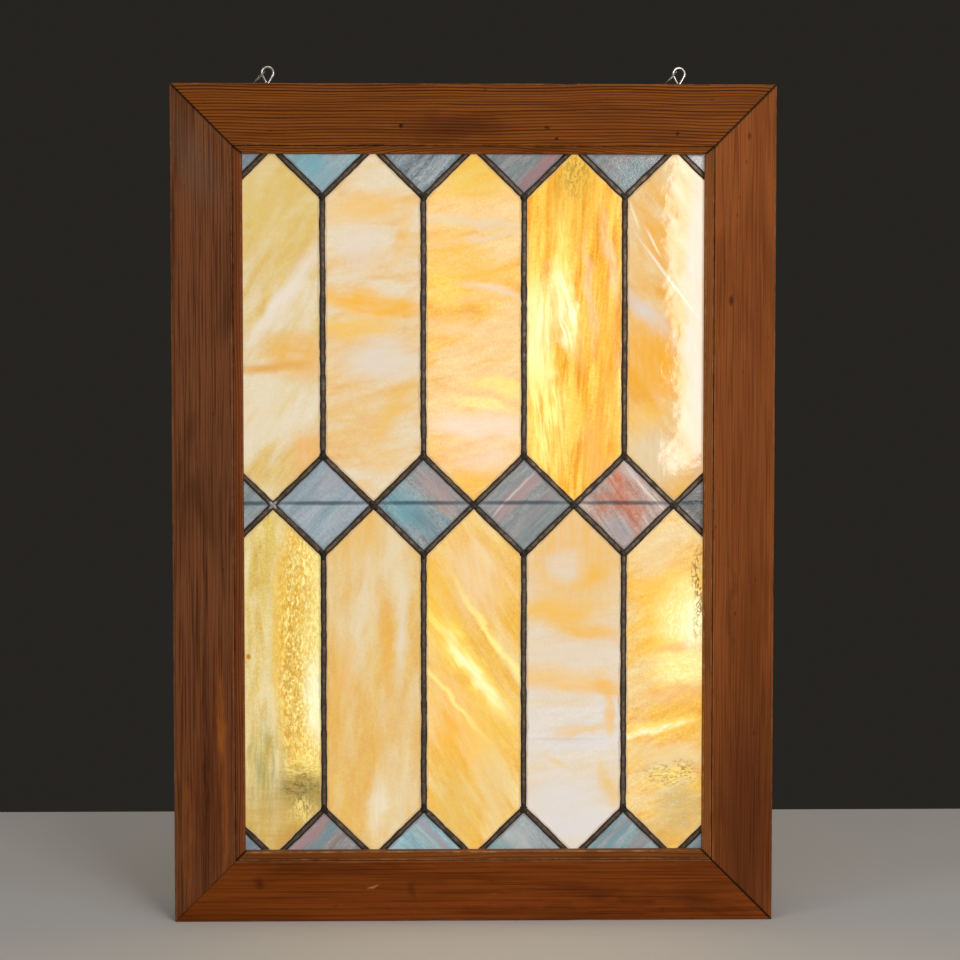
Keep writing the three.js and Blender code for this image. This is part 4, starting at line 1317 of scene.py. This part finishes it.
amberPanes = {
    "upper_1": {
        "milk": "#E7D9BC", "tint": "#E0C279", "turn": 32, "scale": 15.0, "balance": 0.52, "glow": 0.79,
        "marks": [
            spot("#DDC06E", 0.45, 0.88, 60, 58, 0, amount=0.7, soft=0.8),
            spot("#EADECF", 0.66, 0.62, 10, 64, -32, amount=0.85, soft=0.8),
            spot("#EBE1D5", 0.40, 0.55, 5, 40, -38, amount=0.7, soft=0.8),
            spot("#EDB450", 0.72, 0.42, 36, 24, 0, amount=0.75, soft=0.6),
            spot("#E2A234", 0.30, 0.385, 40, 4.4, 3, amount=0.8, soft=0.8, ragged=0.15),
            spot("#E9D8B7", 0.25, 0.26, 26, 22, 0, amount=0.6, soft=0.7),
            spot("#F0B466", 0.85, 0.15, 18, 26, 0, amount=0.75, soft=0.6),
        ],
    },
    "upper_2": {
        "milk": "#E8D8BB", "tint": "#EBC68A", "turn": 80, "scale": 16.0, "glow": 0.79,
        "marks": [
            spot("#F2C470", 0.45, 0.84, 40, 15, 8, amount=0.9, soft=0.8),
            spot("#F4C060", 0.80, 0.77, 7, 34, -20, amount=0.5, soft=0.9),
            spot("#E6D8C6", 0.36, 0.72, 22, 24, 0, amount=0.7, soft=0.8),
            spot("#F7BA3E", 0.50, 0.565, 58, 13, -8, amount=0.95, soft=0.7),
            spot("#F5C458", 0.30, 0.50, 36, 10, 6, amount=0.8, soft=0.7),
            spot("#E3D7C9", 0.58, 0.41, 40, 22, 0, amount=0.85, soft=0.6),
            spot("#EFC060", 0.70, 0.27, 12, 34, -28, amount=0.65, soft=0.7),
            spot("#EFC168", 0.62, 0.13, 22, 16, 0, amount=0.5, soft=0.7),
        ],
    },
    "upper_3": {
        "milk": "#F1CE94", "tint": "#F1BD5B", "turn": 76, "scale": 17.0, "stretch": 3.6, "glow": 0.88,
        "sparkle": 0.22,
        "marks": [
            spot("#E8C459", 0.5, 0.93, 40, 22, 0, amount=0.8, soft=0.6, grain=0.2),
            spot("#E5D1AF", 0.5, 0.80, 54, 6, -6, amount=0.85, soft=0.7, ragged=0.2),
            spot("#E3D2B5", 0.4, 0.745, 50, 3.4, 10, amount=0.75, soft=0.7, ragged=0.2),
            spot("#F6BE46", 0.34, 0.67, 46, 30, -14, amount=0.85, soft=0.5, grain=0.35),
            spot("#FEDF71", 0.20, 0.62, 20, 16, -14, amount=0.7, soft=0.7, grain=0.6),
            spot("#ECD5B7", 0.75, 0.60, 36, 5, -14, amount=0.8, soft=0.8),
            spot("#F4D4A8", 0.30, 0.50, 26, 12, 0, amount=0.5, soft=0.8),
            spot("#FEE585", 0.78, 0.33, 28, 9, -10, amount=0.95, soft=0.6, grain=0.35),
            spot("#FEED9D", 0.60, 0.285, 34, 4, -8, amount=0.85, soft=0.7, grain=0.3),
            spot("#F5DCC7", 0.60, 0.225, 50, 14, 0, amount=0.9, soft=0.6),
            spot("#F3D6C4", 0.56, 0.13, 40, 14, 0, amount=0.6, soft=0.8),
            spot("#F1BE5D", 0.42, 0.07, 26, 12, 0, amount=0.6, soft=0.7),
        ],
    },
    "upper_4": {
        "milk": "#F9CE61", "tint": "#EDA82F", "deep": "#CC881D", "turn": 4, "scale": 34.0, "stretch": 7.0,
        "deepAmount": 0.5, "glow": 0.96, "sparkle": 0.26, "strands": 0.35, "warp": 0.5,
        "marks": [
            spot("#D99A28", 0.5, 0.84, 30, 40, 0, amount=0.5, soft=0.8, ragged=0.4, streaks=0.5),
            spot("#D9AE4A", 0.5, 0.95, 24, 24, 0, amount=0.7, soft=0.8, ragged=0.4),
            spot("#9A7A28", 0.5, 0.95, 18, 20, 0, amount=0.6, soft=0.8, ragged=0.5, grain=1.0, streaks=0.0),
            # the four pale yellow to near-white marks below are painted hot spots of the light shining
            # through from behind
            spot("#FFEC87", 0.34, 0.72, 8, 44, 3, amount=0.8, soft=0.8, streaks=0.6),
            spot("#FFFDBE", 0.13, 0.48, 17, 50, 0, amount=1.0, soft=0.6, ragged=0.4, streaks=0.5),
            spot("#FFFFC8", 0.42, 0.54, 10, 46, 14, amount=1.0, soft=0.7, ragged=0.4, streaks=0.6),
            spot("#FFF295", 0.20, 0.26, 18, 66, 5, amount=0.9, soft=0.7, ragged=0.4, streaks=0.75),
            spot("#F0C69D", 0.66, 0.60, 5, 50, 6, amount=0.8, soft=0.8, ragged=0.3, streaks=0.5),
            spot("#F2CCA5", 0.86, 0.70, 5, 44, 8, amount=0.7, soft=0.8, ragged=0.3, streaks=0.5),
            spot("#EFB655", 0.86, 0.36, 9, 80, 0, amount=0.6, soft=0.8, streaks=0.6),
            spot("#E59C24", 0.56, 0.40, 6, 50, 0, amount=0.6, soft=0.8, ragged=0.4, streaks=0.6),
            spot("#F2B868", 0.70, 0.15, 12, 34, 4, amount=0.7, soft=0.8, ragged=0.4),
        ],
    },
    "upper_5": {
        "milk": "#EED2A2", "tint": "#F0B65A", "turn": -32, "scale": 17.0, "glow": 0.77, "rough": 0.02,
        "bump": 0.03, "ripple": 0.3, "pebble": 0.2, "size": 18.0,
        "marks": [
            spot("#F5B650", 0.34, 0.76, 12, 26, 30, amount=0.85, soft=0.7, grain=0.2),
            spot("#F3BA60", 0.16, 0.66, 12, 30, 30, amount=0.6, soft=0.8),
            spot("#E0D7D0", 0.34, 0.52, 8, 50, 44, amount=0.9, soft=0.7),
            spot("#F9B436", 0.38, 0.40, 36, 38, 0, amount=0.95, soft=0.6),
            spot("#FBCB6C", 0.25, 0.24, 24, 16, 20, amount=0.7, soft=0.7),
            spot("#E6D6B6", 0.40, 0.13, 30, 32, 0, amount=0.85, soft=0.7),
            # a painted reflection down the right side of the pane
            spot("#DBCCB8", 0.92, 0.56, 17, 170, 0, amount=1.0, soft=0.4, ragged=0.25),
            # three thin bright lines: painted glints
            spot("#FBF0D8", 0.50, 0.65, 1.4, 42, 37, amount=0.85, soft=0.7, ragged=0.05, streaks=0.0),
            spot("#FFF4DC", 0.33, 0.745, 1.2, 14, 28, amount=0.8, soft=0.7, ragged=0.05, streaks=0.0),
            spot("#FFEFC8", 0.10, 0.82, 1.2, 12, 20, amount=0.7, soft=0.7, ragged=0.05, streaks=0.0),
        ],
    },
    "lower_1": {
        "milk": "#E9D7A4", "tint": "#DFC26A", "deep": "#BFA352", "turn": 2, "scale": 26.0, "stretch": 5.0,
        "sparkle": 0.3, "pebble": 1.0, "bump": 0.5, "glow": 0.80, "strands": 0.12,
        # the pale yellow to near-white marks in this list are painted hot spots of the light shining
        # through from behind
        "marks": [
            spot("#F2C452", 0.78, 0.60, 33, 150, 0, amount=0.95, soft=0.22, ragged=0.2),
            spot("#FFF0A0", 0.92, 0.70, 10, 90, 0, amount=0.8, soft=0.7),
            spot("#FFFCD8", 0.90, 0.44, 10, 42, 0, amount=1.0, soft=0.6, ragged=0.25),
            spot("#FFF4A0", 0.80, 0.60, 28, 148, 0, amount=1.0, soft=0.4, ragged=0.25, grain=1.0),
            spot("#C68E20", 0.60, 0.56, 12, 140, 0, amount=0.65, soft=0.6, ragged=0.25, grain=1.0),
            spot("#C08A24", 0.78, 0.64, 20, 110, 0, amount=0.35, soft=0.6, ragged=0.25, grain=1.0),
            spot("#FFFBD0", 0.93, 0.45, 7, 30, 0, amount=0.8, soft=0.7, ragged=0.25),
            spot("#C49E46", 0.50, 0.10, 60, 40, 0, amount=0.7, soft=0.7),
            spot("#6E5E2A", 0.78, 0.185, 22, 20, 0, amount=0.9, soft=0.8, ragged=0.4, grain=0.35),
            spot("#FFE98C", 0.78, 0.25, 26, 12, 0, amount=0.85, soft=0.6, ragged=0.4, grain=0.95),
            spot("#94925C", 0.28, 0.26, 16, 40, 0, amount=0.6, soft=0.8, ragged=0.4, streaks=0.8),
            spot("#FFE890", 0.76, 0.12, 12, 14, 0, amount=0.8, soft=0.7, grain=0.95),
            spot("#C88E30", 0.66, 0.04, 22, 12, 0, amount=0.7, soft=0.7),
            spot("#C87A14", 0.10, 0.57, 2.2, 2.8, 0, amount=0.95, soft=0.5, ragged=0.02, streaks=0.0),
        ],
    },
    "lower_2": {
        "milk": "#E9D5AC", "tint": "#E8BC66", "turn": 3, "scale": 16.0, "stretch": 3.2, "glow": 0.775,
        "sparkle": 0.14, "strands": 0.05, "soft": 0.15, "deepAmount": 0.08,
        "marks": [
            spot("#ECB854", 0.42, 0.93, 18, 34, 0, amount=0.7, soft=0.8),
            spot("#F0B04C", 0.60, 0.62, 6, 46, 4, amount=0.6, soft=0.8),
            spot("#EEB65A", 0.22, 0.52, 9, 26, -12, amount=0.6, soft=0.8),
            spot("#EADFC8", 0.78, 0.66, 7, 60, -2, amount=0.7, soft=0.8),
            spot("#EADFC8", 0.40, 0.72, 5, 40, -4, amount=0.5, soft=0.8),
            spot("#F0E6CE", 0.54, 0.13, 9, 28, 0, amount=0.85, soft=0.8),
        ],
    },
    "lower_3": {
        "milk": "#ECD092", "tint": "#EAB850", "turn": -30, "scale": 22.0, "stretch": 4.0, "glow": 0.87,
        "sparkle": 0.18, "strands": 0.14,
        "marks": [
            spot("#EDD0A6", 0.52, 0.80, 30, 40, 10, amount=0.8, soft=0.7),
            spot("#F2C044", 0.16, 0.66, 18, 66, 8, amount=0.7, soft=0.7, ragged=0.4, streaks=0.6),
            spot("#F4B43C", 0.34, 0.36, 26, 44, 20, amount=0.7, soft=0.8, ragged=0.4, streaks=0.4),
            # the four pale yellow marks on the diagonal are painted hot streaks of the light shining
            # through from behind
            spot("#FCE674", 0.40, 0.56, 14, 74, 36, amount=0.9, soft=0.7, ragged=0.4, streaks=0.7),
            spot("#FCFFC4", 0.50, 0.52, 6, 44, 38, amount=1.0, soft=0.8, ragged=0.3, streaks=0.4),
            spot("#FCF094", 0.70, 0.62, 3.0, 60, 34, amount=0.85, soft=0.8, ragged=0.25),
            spot("#FCEB8E", 0.30, 0.44, 2.4, 50, 42, amount=0.8, soft=0.8, ragged=0.25),
            spot("#F1C854", 0.66, 0.34, 20, 30, 20, amount=0.6, soft=0.8, ragged=0.4),
            spot("#E2C486", 0.72, 0.18, 14, 50, 6, amount=0.7, soft=0.8, ragged=0.4),
            spot("#DDBA66", 0.3, 0.12, 24, 44, 4, amount=0.7, soft=0.8, ragged=0.4),
        ],
    },
    "lower_4": {
        "milk": "#E2DAD3", "tint": "#E8D3B0", "turn": 84, "scale": 14.0, "stretch": 4.0, "soft": 0.14,
        "deepAmount": 0.0, "glow": 0.79, "strands": 0.0,
        "marks": [
            spot("#F1BE62", 0.50, 0.88, 60, 60, 0, amount=0.85, soft=0.6),
            spot("#F4BC48", 0.70, 0.80, 22, 9, 14, amount=0.7, soft=0.8),
            spot("#E4D8CA", 0.42, 0.83, 18, 15, 0, amount=0.75, soft=0.8),
            spot("#F5C054", 0.34, 0.70, 44, 11, 4, amount=0.85, soft=0.8),
            spot("#F5BA44", 0.60, 0.645, 40, 10, -12, amount=0.85, soft=0.8),
            spot("#E7D4BE", 0.45, 0.575, 46, 10, 0, amount=0.7, soft=0.7),
            spot("#F4C262", 0.46, 0.50, 58, 12, -8, amount=0.8, soft=0.8),
            spot("#F3B94C", 0.84, 0.475, 16, 8, -20, amount=0.8, soft=0.8),
            spot("#F2BE5C", 0.85, 0.41, 4.6, 20, 10, amount=0.75, soft=0.8),
            spot("#F0C26C", 0.62, 0.355, 30, 5.0, 12, amount=0.75, soft=0.8),
            spot("#D2BFAC", 0.35, 0.329, 36, 1.3, 0, amount=0.42, soft=0.8, ragged=0.06, streaks=0.0),
            spot("#EEC880", 0.32, 0.262, 16, 3.4, -18, amount=0.65, soft=0.8),
            spot("#EEC060", 0.86, 0.19, 7, 20, 20, amount=0.85, soft=0.8),
            spot("#DFDAD8", 0.40, 0.12, 46, 36, 0, amount=0.8, soft=0.6),
        ],
    },
    "lower_5": {
        "milk": "#E9CF96", "tint": "#ECB850", "turn": 66, "scale": 20.0, "stretch": 3.2, "soft": 0.14,
        "sparkle": 0.3, "pebble": 1.0, "bump": 0.5, "glow": 0.88, "strands": 0.05, "deepAmount": 0.08,
        # the bright yellow and near-white marks in this list are painted hot spots of the light shining
        # through from behind
        "marks": [
            spot("#E9CDA0", 0.40, 0.88, 30, 34, 0, amount=0.6, soft=0.8, ragged=0.4),
            spot("#F8BE44", 0.40, 0.78, 34, 8, 6, amount=0.7, soft=0.7, grain=0.3),
            spot("#FFD35C", 0.66, 0.66, 34, 52, 0, amount=0.85, soft=0.7, ragged=0.4),
            spot("#FFF9BC", 0.76, 0.68, 25, 32, 0, amount=1.0, soft=0.7, ragged=0.4, grain=0.45),
            spot("#FFF8B4", 0.72, 0.53, 27, 16, 0, amount=1.0, soft=0.7, ragged=0.4, grain=0.4),
            spot("#EFB878", 0.76, 0.592, 28, 5, 4, amount=0.85, soft=0.7, ragged=0.3),
            spot("#FFFBD0", 0.86, 0.65, 12, 26, 0, amount=0.95, soft=0.7, ragged=0.4, grain=0.35),
            spot("#8A6014", 0.90, 0.76, 6, 46, 0, amount=0.85, soft=0.6, ragged=0.3, grain=1.0),
            spot("#EDB878", 0.62, 0.46, 36, 10, 4, amount=0.6, soft=0.8),
            spot("#FFE070", 0.40, 0.362, 44, 6.4, 14, amount=0.95, soft=0.5, ragged=0.2, grain=0.5),
            spot("#FFF8CC", 0.34, 0.352, 34, 3.4, 15, amount=1.0, soft=0.6, ragged=0.2, grain=0.5),
            spot("#E6CC98", 0.5, 0.28, 44, 12, 0, amount=0.8, soft=0.7, ragged=0.4),
            spot("#8C7024", 0.62, 0.225, 28, 13, 0, amount=0.75, soft=0.6, ragged=0.4, grain=0.85),
            spot("#FFE27C", 0.58, 0.215, 26, 12, 0, amount=0.8, soft=0.6, ragged=0.4, grain=1.0),
            spot("#BFAE80", 0.72, 0.12, 28, 22, 0, amount=0.85, soft=0.7, ragged=0.45, grain=0.3),
            spot("#CFA450", 0.40, 0.04, 26, 18, 0, amount=0.7, soft=0.7, ragged=0.4),
        ],
    },
}

bluePanes = {
    "top_1": {"milk": "#98A0AA", "tint": "#7E8D9C", "deep": "#6A7684"},
    "top_2": {"milk": "#ADBABE", "tint": "#8AB5BE", "deep": "#989FA6", "scale": 36.0,
              "marks": [spot("#82B7C4", 0.40, 0.72, 22, 14, -45, amount=0.75, soft=0.8),
                        spot("#99B1B8", 0.60, 0.36, 10, 18, -30, amount=0.6, soft=0.8)]},
    "top_3": {"milk": "#98A3A8", "tint": "#74848E", "deep": "#5E6A74", "sparkle": 0.4,
              "marks": [spot("#CDD0CD", 0.60, 0.52, 16, 28, -45, amount=0.75, soft=0.8, streaks=0.8,
                             grain=0.7)]},
    "top_4": {"milk": "#A4A3A1", "tint": "#7D8D91", "deep": "#8D7D7F",
              "marks": [spot("#AF8383", 0.62, 0.52, 7, 40, -43, amount=0.85, soft=0.6, ragged=0.2),
                        spot("#B48787", 0.80, 0.75, 4, 24, -43, amount=0.7, soft=0.6, ragged=0.2)]},
    "top_5": {"milk": "#A19A99", "tint": "#8E9B9D", "deep": "#928583",
              "marks": [spot("#84A3A9", 0.58, 0.42, 20, 14, -20, amount=0.7, soft=0.7, ragged=0.4,
                             streaks=0.5)]},
    "top_6": {"milk": "#B4B0B0", "tint": "#A2A0A2", "deep": "#929094"},
    "middle_1": {"milk": "#ADB2B1", "tint": "#8C9D9F", "deep": "#8E8E8F"},
    "middle_2": {"milk": "#AEB9C0", "tint": "#97ADB6", "deep": "#A4A2AA", "scale": 34.0, "deepAmount": 0.3,
                 "marks": [spot("#B6AEB4", 0.62, 0.78, 12, 16, -45, amount=0.5, soft=0.8)]},
    "middle_3": {"milk": "#A7ADAF", "tint": "#87A9AF", "deep": "#8D8181", "sparkle": 0.4, "turn": -45,
                 "marks": [spot("#BDA19B", 0.66, 0.70, 12, 30, 45, amount=0.8, soft=0.7, ragged=0.4),
                           spot("#7DB1BD", 0.34, 0.46, 13, 24, 45, amount=0.8, soft=0.7, ragged=0.4),
                           spot("#6F8D99", 0.52, 0.30, 8, 22, 45, amount=0.7, soft=0.7, ragged=0.4),
                           spot("#C5A395", 0.72, 0.45, 5, 18, 45, amount=0.6, soft=0.8, ragged=0.4)]},
    "middle_4": {"milk": "#ABACAA", "tint": "#909898", "deep": "#A58E8C",
                 "marks": [spot("#C1A09E", 0.46, 0.62, 7, 44, -46, amount=0.85, soft=0.6, ragged=0.25),
                           spot("#E3E2DE", 0.38, 0.60, 1.2, 34, -44, amount=0.6, soft=0.8, ragged=0.08,
                                streaks=0.0),
                           spot("#BB9C9C", 0.70, 0.50, 4, 34, -46, amount=0.7, soft=0.7, ragged=0.25),
                           spot("#859294", 0.62, 0.36, 9, 40, -46, amount=0.6, soft=0.7, ragged=0.3)]},
    "middle_5": {"milk": "#D4BCB0", "tint": "#B8A096", "deep": "#A87C6C", "turn": -35, "sparkle": 0.3,
                 "marks": [spot("#E07444", 0.44, 0.72, 8, 20, 14, amount=0.8, soft=0.9, ragged=0.6,
                                streaks=0.0, grain=0.5),
                           spot("#D86E40", 0.56, 0.42, 8, 22, 12, amount=0.8, soft=0.9, ragged=0.6,
                                streaks=0.0, grain=0.5),
                           spot("#D27C54", 0.28, 0.50, 11, 12, -20, amount=0.7, soft=0.9, ragged=0.6,
                                streaks=0.0, grain=0.5),
                           spot("#CC7A54", 0.62, 0.60, 10, 16, 10, amount=0.5, soft=0.9, ragged=0.6,
                                streaks=0.0, grain=0.5),
                           spot("#D8CCCC", 0.58, 0.88, 10, 10, -45, amount=0.7, soft=0.8, ragged=0.4),
                           spot("#F4E8E2", 0.76, 0.62, 1.1, 28, 42, amount=0.8, soft=0.8, ragged=0.08,
                                streaks=0.0),
                           spot("#A8ACB4", 0.45, 0.22, 18, 10, -45, amount=0.7, soft=0.8, ragged=0.4)]},
    "middle_6": {"milk": "#848481", "tint": "#717271", "deep": "#6A6261"},
    "bottom_1": {"milk": "#929EA8", "tint": "#7C8894", "deep": "#6E7680"},
    "bottom_2": {"milk": "#A5A5A1", "tint": "#8F9091", "deep": "#9D807F",
                 "marks": [spot("#B18A8B", 0.34, 0.45, 6, 44, -45, amount=0.85, soft=0.6, ragged=0.2),
                           spot("#73929B", 0.52, 0.42, 6, 40, -45, amount=0.75, soft=0.6, ragged=0.25),
                           spot("#917269", 0.60, 0.20, 2.4, 30, -45, amount=0.6, soft=0.7, ragged=0.2)]},
    "bottom_3": {"milk": "#AFCAD1", "tint": "#91BEC9", "deep": "#97A8AF", "turn": -45,
                 "marks": [spot("#AD9CA3", 0.56, 0.5, 4.5, 42, 45, amount=0.8, soft=0.6, ragged=0.2),
                           spot("#9FACA5", 0.46, 0.4, 4, 40, 45, amount=0.6, soft=0.7, ragged=0.2)]},
    "bottom_4": {"milk": "#AFB7B8", "tint": "#93A9AA", "deep": "#9D9598", "scale": 40.0, "turn": -40,
                 "marks": [spot("#CBCAC8", 0.40, 0.35, 8, 26, 45, amount=0.7, soft=0.7, ragged=0.3),
                           spot("#89B3B2", 0.22, 0.18, 12, 10, 0, amount=0.7, soft=0.8, ragged=0.4)]},
    "bottom_5": {"milk": "#A4B5B7", "tint": "#86A7AB", "deep": "#9C9197",
                 "marks": [spot("#A09195", 0.50, 0.55, 4, 44, -45, amount=0.8, soft=0.6, ragged=0.2),
                           spot("#6EA3AD", 0.40, 0.30, 3, 34, -45, amount=0.7, soft=0.6, ragged=0.2),
                           spot("#A89799", 0.74, 0.35, 7, 26, -45, amount=0.7, soft=0.7, ragged=0.3)]},
    "bottom_6": {"milk": "#92A2A6", "tint": "#7A8E92", "deep": "#6C7C80"},
}

# a painted shadow of the saddle bar: a dark line on the middle panes at the bar's height
barShade = {"color": "#2C4654", "halfHeight": 2.1, "amount": 0.75}


def makeGlass():
    barLow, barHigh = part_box("saddle_bar")
    barZ = (barLow.z + barHigh.z) / 2
    sets = [("amber_pane_", "amber", amberPanes), ("blue_pane_", "blue", bluePanes)]
    seed = 0
    for prefix, family, panes in sets:
        for short, own in panes.items():
            seed += 1
            node = prefix + short
            look = {**glassDefaults[family], "seed": 1.37 * seed, **own}
            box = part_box(node)
            # the middle panes get the painted shadow of the saddle bar
            if "middle" in short:
                up = (barZ - box[0].z) / (box[1].z - box[0].z)
                shade = spot(barShade["color"], 0.5, up, 60, barShade["halfHeight"], 0,
                             amount=barShade["amount"], soft=0.7, ragged=0.03, streaks=0.0)
                look["marks"] = look["marks"] + [shade]
            relief = {key: look[key] for key in ("turn", "stretch", "size", "ripple", "pebble")}
            piece = paneMesh(node + "_glass", node, relief, 40 * seed)
            settle(piece, glassMaterial(node + "_finish", look, box), node, node)


# ---- saddle bar

barShape = {"corner": 0.6, "backCorner": 0.84, "step": 8.0, "hammered": 0.08, "dentSize": 13.0}
barLook = {"dark": "#1E1B19", "mid": "#4A4440", "light": "#7A6E64", "bloom": 0.3, "metallic": 0.8}


def makeSaddleBar():
    s = barShape
    low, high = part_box("saddle_bar")
    size = (high - low) / mm
    corners = [(0, 0, s["corner"]), (size.z, 0, s["corner"]),
               (size.z, size.y, s["backCorner"]), (0, size.y, s["backCorner"])]
    outline = roundedOutline(corners, [1.2, 1.6, 1.2, 1.6])
    rows = round(size.x / s["step"])
    across = np.broadcast_to(outline[:, 0], (rows, len(outline)))
    depth = np.broadcast_to(outline[:, 1], (rows, len(outline)))
    along = np.broadcast_to(np.linspace(0, size.x, rows)[:, None], across.shape)
    dents = 1 - s["hammered"] * (0.5 + 0.5 * smoothNoise(along, across, s["dentSize"], 77))
    x = low.x + mm * along
    y = low.y + mm * (size.y / 2 + (depth - size.y / 2) * dents)
    z = low.z + mm * (size.z / 2 + (across - size.z / 2) * dents)
    points = np.stack([x, y, z], -1).reshape(-1, 3)
    faces = gridQuads(rows, len(outline), True).tolist() + endCaps(rows, len(outline))
    piece = meshFrom("saddle_bar_steel", points, [face[::-1] for face in faces], 40.0,
                     {"crown": np.full(len(points), 0.5)})
    settle(piece, leadMaterial("saddle_bar_finish", barLook), "bar_steel", "saddle_bar")


# ---- screw eyes and hanging rings

# heights and depths in mm from the middle of the eye, lean in mm over the whole wire
eyeShape = {
    "ringRadius": 6.0,
    "wireRadius": 1.2,
    "rise": 13.0,
    "neck": (0.25, -11.8),
    "tip": (-1.5, -10.3),
    "shank": 16.0,
    "threadPitch": 1.5,
    "threadDepth": 0.22,
    "lean": {"left": -0.25, "right": 0.2},
    "tones": ("#F8F9FA", "#C8CACC"),
}

# slope, tilt and the place of the closed joint in degrees
ringShape = {
    "radius": 8.5,
    "wireRadius": 0.8,
    "slope": 49.0,
    "tilt": {"left": 14.0, "right": 4.0},
    "joint": 200.0,
    "jointWidth": 2.5,
    "jointDepth": 0.22,
    "tones": ("#B8B2A8", "#6E6860"),
}


def zincMaterial(name, tone, dull):
    made, tree, shader = newMaterial(name)
    coords = objectCoords(tree)
    patches = noiseOf(tree, coords, 420.0, 4.0, 0.6)
    fine = noiseOf(tree, coords, 1900.0, 2.0, 0.5)
    color = mixColors(tree, remap(tree, patches, 0.38, 0.66), tone, dull)
    dusted = useGroup(tree, "settledDust", color=color, dustColor="#8E8678", amount=0.15, film=0.05)
    rough = remap(tree, patches, 0.35, 0.7, 0.24, 0.42)
    setShader(tree, shader, baseColor=dusted["Color"], roughness=rough, metallic=1.0, ior=1.5,
              normal=bumpOf(tree, fine, 0.0001, 0.4))
    return made


def makeScrewEye(side, finish):
    s = eyeShape
    neckDrop = -s["neck"][1]
    wireRadius = s["wireRadius"]
    # a round bow whose sides run straight down to the neck
    widen = math.asin(s["ringRadius"] / neckDrop)
    turns = np.linspace(-widen, math.pi + widen, 56)
    bow = s["ringRadius"] * np.stack([np.cos(turns), np.sin(turns)], -1)
    neck = np.array(s["neck"])
    tip = np.array(s["tip"])
    rise = neck + (bow[0] - neck) * np.arange(9)[:, None] / 9
    close = bow[-1] + (tip - bow[-1]) * np.arange(1, 9)[:, None] / 8
    shankEnd = s["rise"] + s["shank"]
    shankZ = np.linspace(-shankEnd + 0.2, -neckDrop - 0.5, 60)
    shank = np.stack([0 * shankZ, shankZ], -1)
    path = np.concatenate([shank, rise, bow, close])
    # the wood covers a tapered thread, and the open end of the wire is thinner
    inWood = shankZ < -s["rise"] + 0.4
    thread = s["threadDepth"] * (np.sin(2 * math.pi * shankZ / s["threadPitch"]) - 1)
    taper = np.minimum(1.0, (shankZ + shankEnd) / 3.0 + 0.15)
    shankRadii = np.where(inWood, (wireRadius + thread) * taper, wireRadius)
    radii = np.concatenate([shankRadii, np.full(len(path) - len(shankZ), wireRadius)])
    radii[-2:] *= (0.96, 0.72)
    low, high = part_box("screw_eye_" + side)
    x = (low.x + high.x) / 2 + path[:, 0] * mm
    y = s["lean"][side] * mm * np.arange(len(path)) / len(path)
    line = np.stack([x, y, path[:, 1] * mm], -1)
    points, faces = tubeAlong(line, radii * mm, 16)
    piece = meshFrom("screw_eye_" + side + "_wire", points, faces, 50.0)
    settle(piece, finish, "eye_zinc", "screw_eye_" + side)


def makeHangingRing(side, finish):
    s = ringShape
    slope = math.radians(s["slope"])
    tilt = math.radians(s["tilt"][side])
    angles = np.linspace(0, 2 * math.pi, 96, endpoint=False)
    # the ring leans about its own level axis, then slopes down to the left
    x = s["radius"] * np.cos(angles)
    y = s["radius"] * np.sin(angles) * math.cos(tilt)
    z = s["radius"] * np.sin(angles) * math.sin(tilt)
    sloped = np.stack([x * math.cos(slope) - z * math.sin(slope), y,
                       x * math.sin(slope) + z * math.cos(slope)], -1)
    low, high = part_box("hanging_ring_" + side)
    line = sloped * mm + np.array((low + high) / 2)
    joint = np.exp(-((np.degrees(angles) - s["joint"]) / s["jointWidth"]) ** 2)
    wire = (s["wireRadius"] - s["jointDepth"] * joint) * mm
    points, faces = tubeAlong(line, wire, 12, True)
    piece = meshFrom("hanging_ring_" + side + "_wire", points, faces, 60.0)
    settle(piece, finish, "ring_wire", "hanging_ring_" + side)


def makeHangers():
    eyeFinish = zincMaterial("screw_eye_finish", *eyeShape["tones"])
    ringFinish = zincMaterial("hanging_ring_finish", *ringShape["tones"])
    for side in ("left", "right"):
        makeScrewEye(side, eyeFinish)
        makeHangingRing(side, ringFinish)


# ---- build the scene

def makeStage(setup):
    floorZ = cadBox[0][2]
    w = setup["halfWidth"]
    corners = [(-w, -setup["front"], floorZ), (w, -setup["front"], floorZ),
               (w, setup["behind"], floorZ), (-w, setup["behind"], floorZ)]
    data = bpy.data.meshes.new("stage_floor")
    data.from_pydata(corners, [], [(0, 1, 2, 3)])
    floor = addObject("stage_floor", data)
    look, tree, shader = newMaterial("stage_floor_finish")
    setShader(tree, shader, baseColor=(*setup["floorColor"], 1.0), roughness=0.85, specular=0.2)
    data.materials.append(look)
    world = bpy.data.worlds.new("studio")
    world.use_nodes = True
    tree = world.node_tree
    tree.nodes.clear()
    seen = addNode(tree, "ShaderNodeLightPath").outputs["Is Camera Ray"]
    soft = addNode(tree, "ShaderNodeBackground", {"Color": setup["ambientColor"],
                                                  "Strength": setup["ambient"]})
    dark = addNode(tree, "ShaderNodeBackground", {"Color": setup["backdropColor"]})
    both = addNode(tree, "ShaderNodeMixShader", {0: seen, 1: soft.outputs[0], 2: dark.outputs[0]})
    addNode(tree, "ShaderNodeOutputWorld", {"Surface": both.outputs[0]})
    bpy.context.scene.world = world
    bpy.context.scene.view_settings.view_transform = "Standard"


makeCamera(cameraSetup)
makeLamps(lampSetup)
makeStage(stageSetup)
print("camera, lamps and stage made")
makeRails()
makeStops()
print("wood made")
makeLead()
makeSaddleBar()
print("lead and saddle bar made")
makeGlass()
print("glass made")
makeHangers()
print("hangers made")
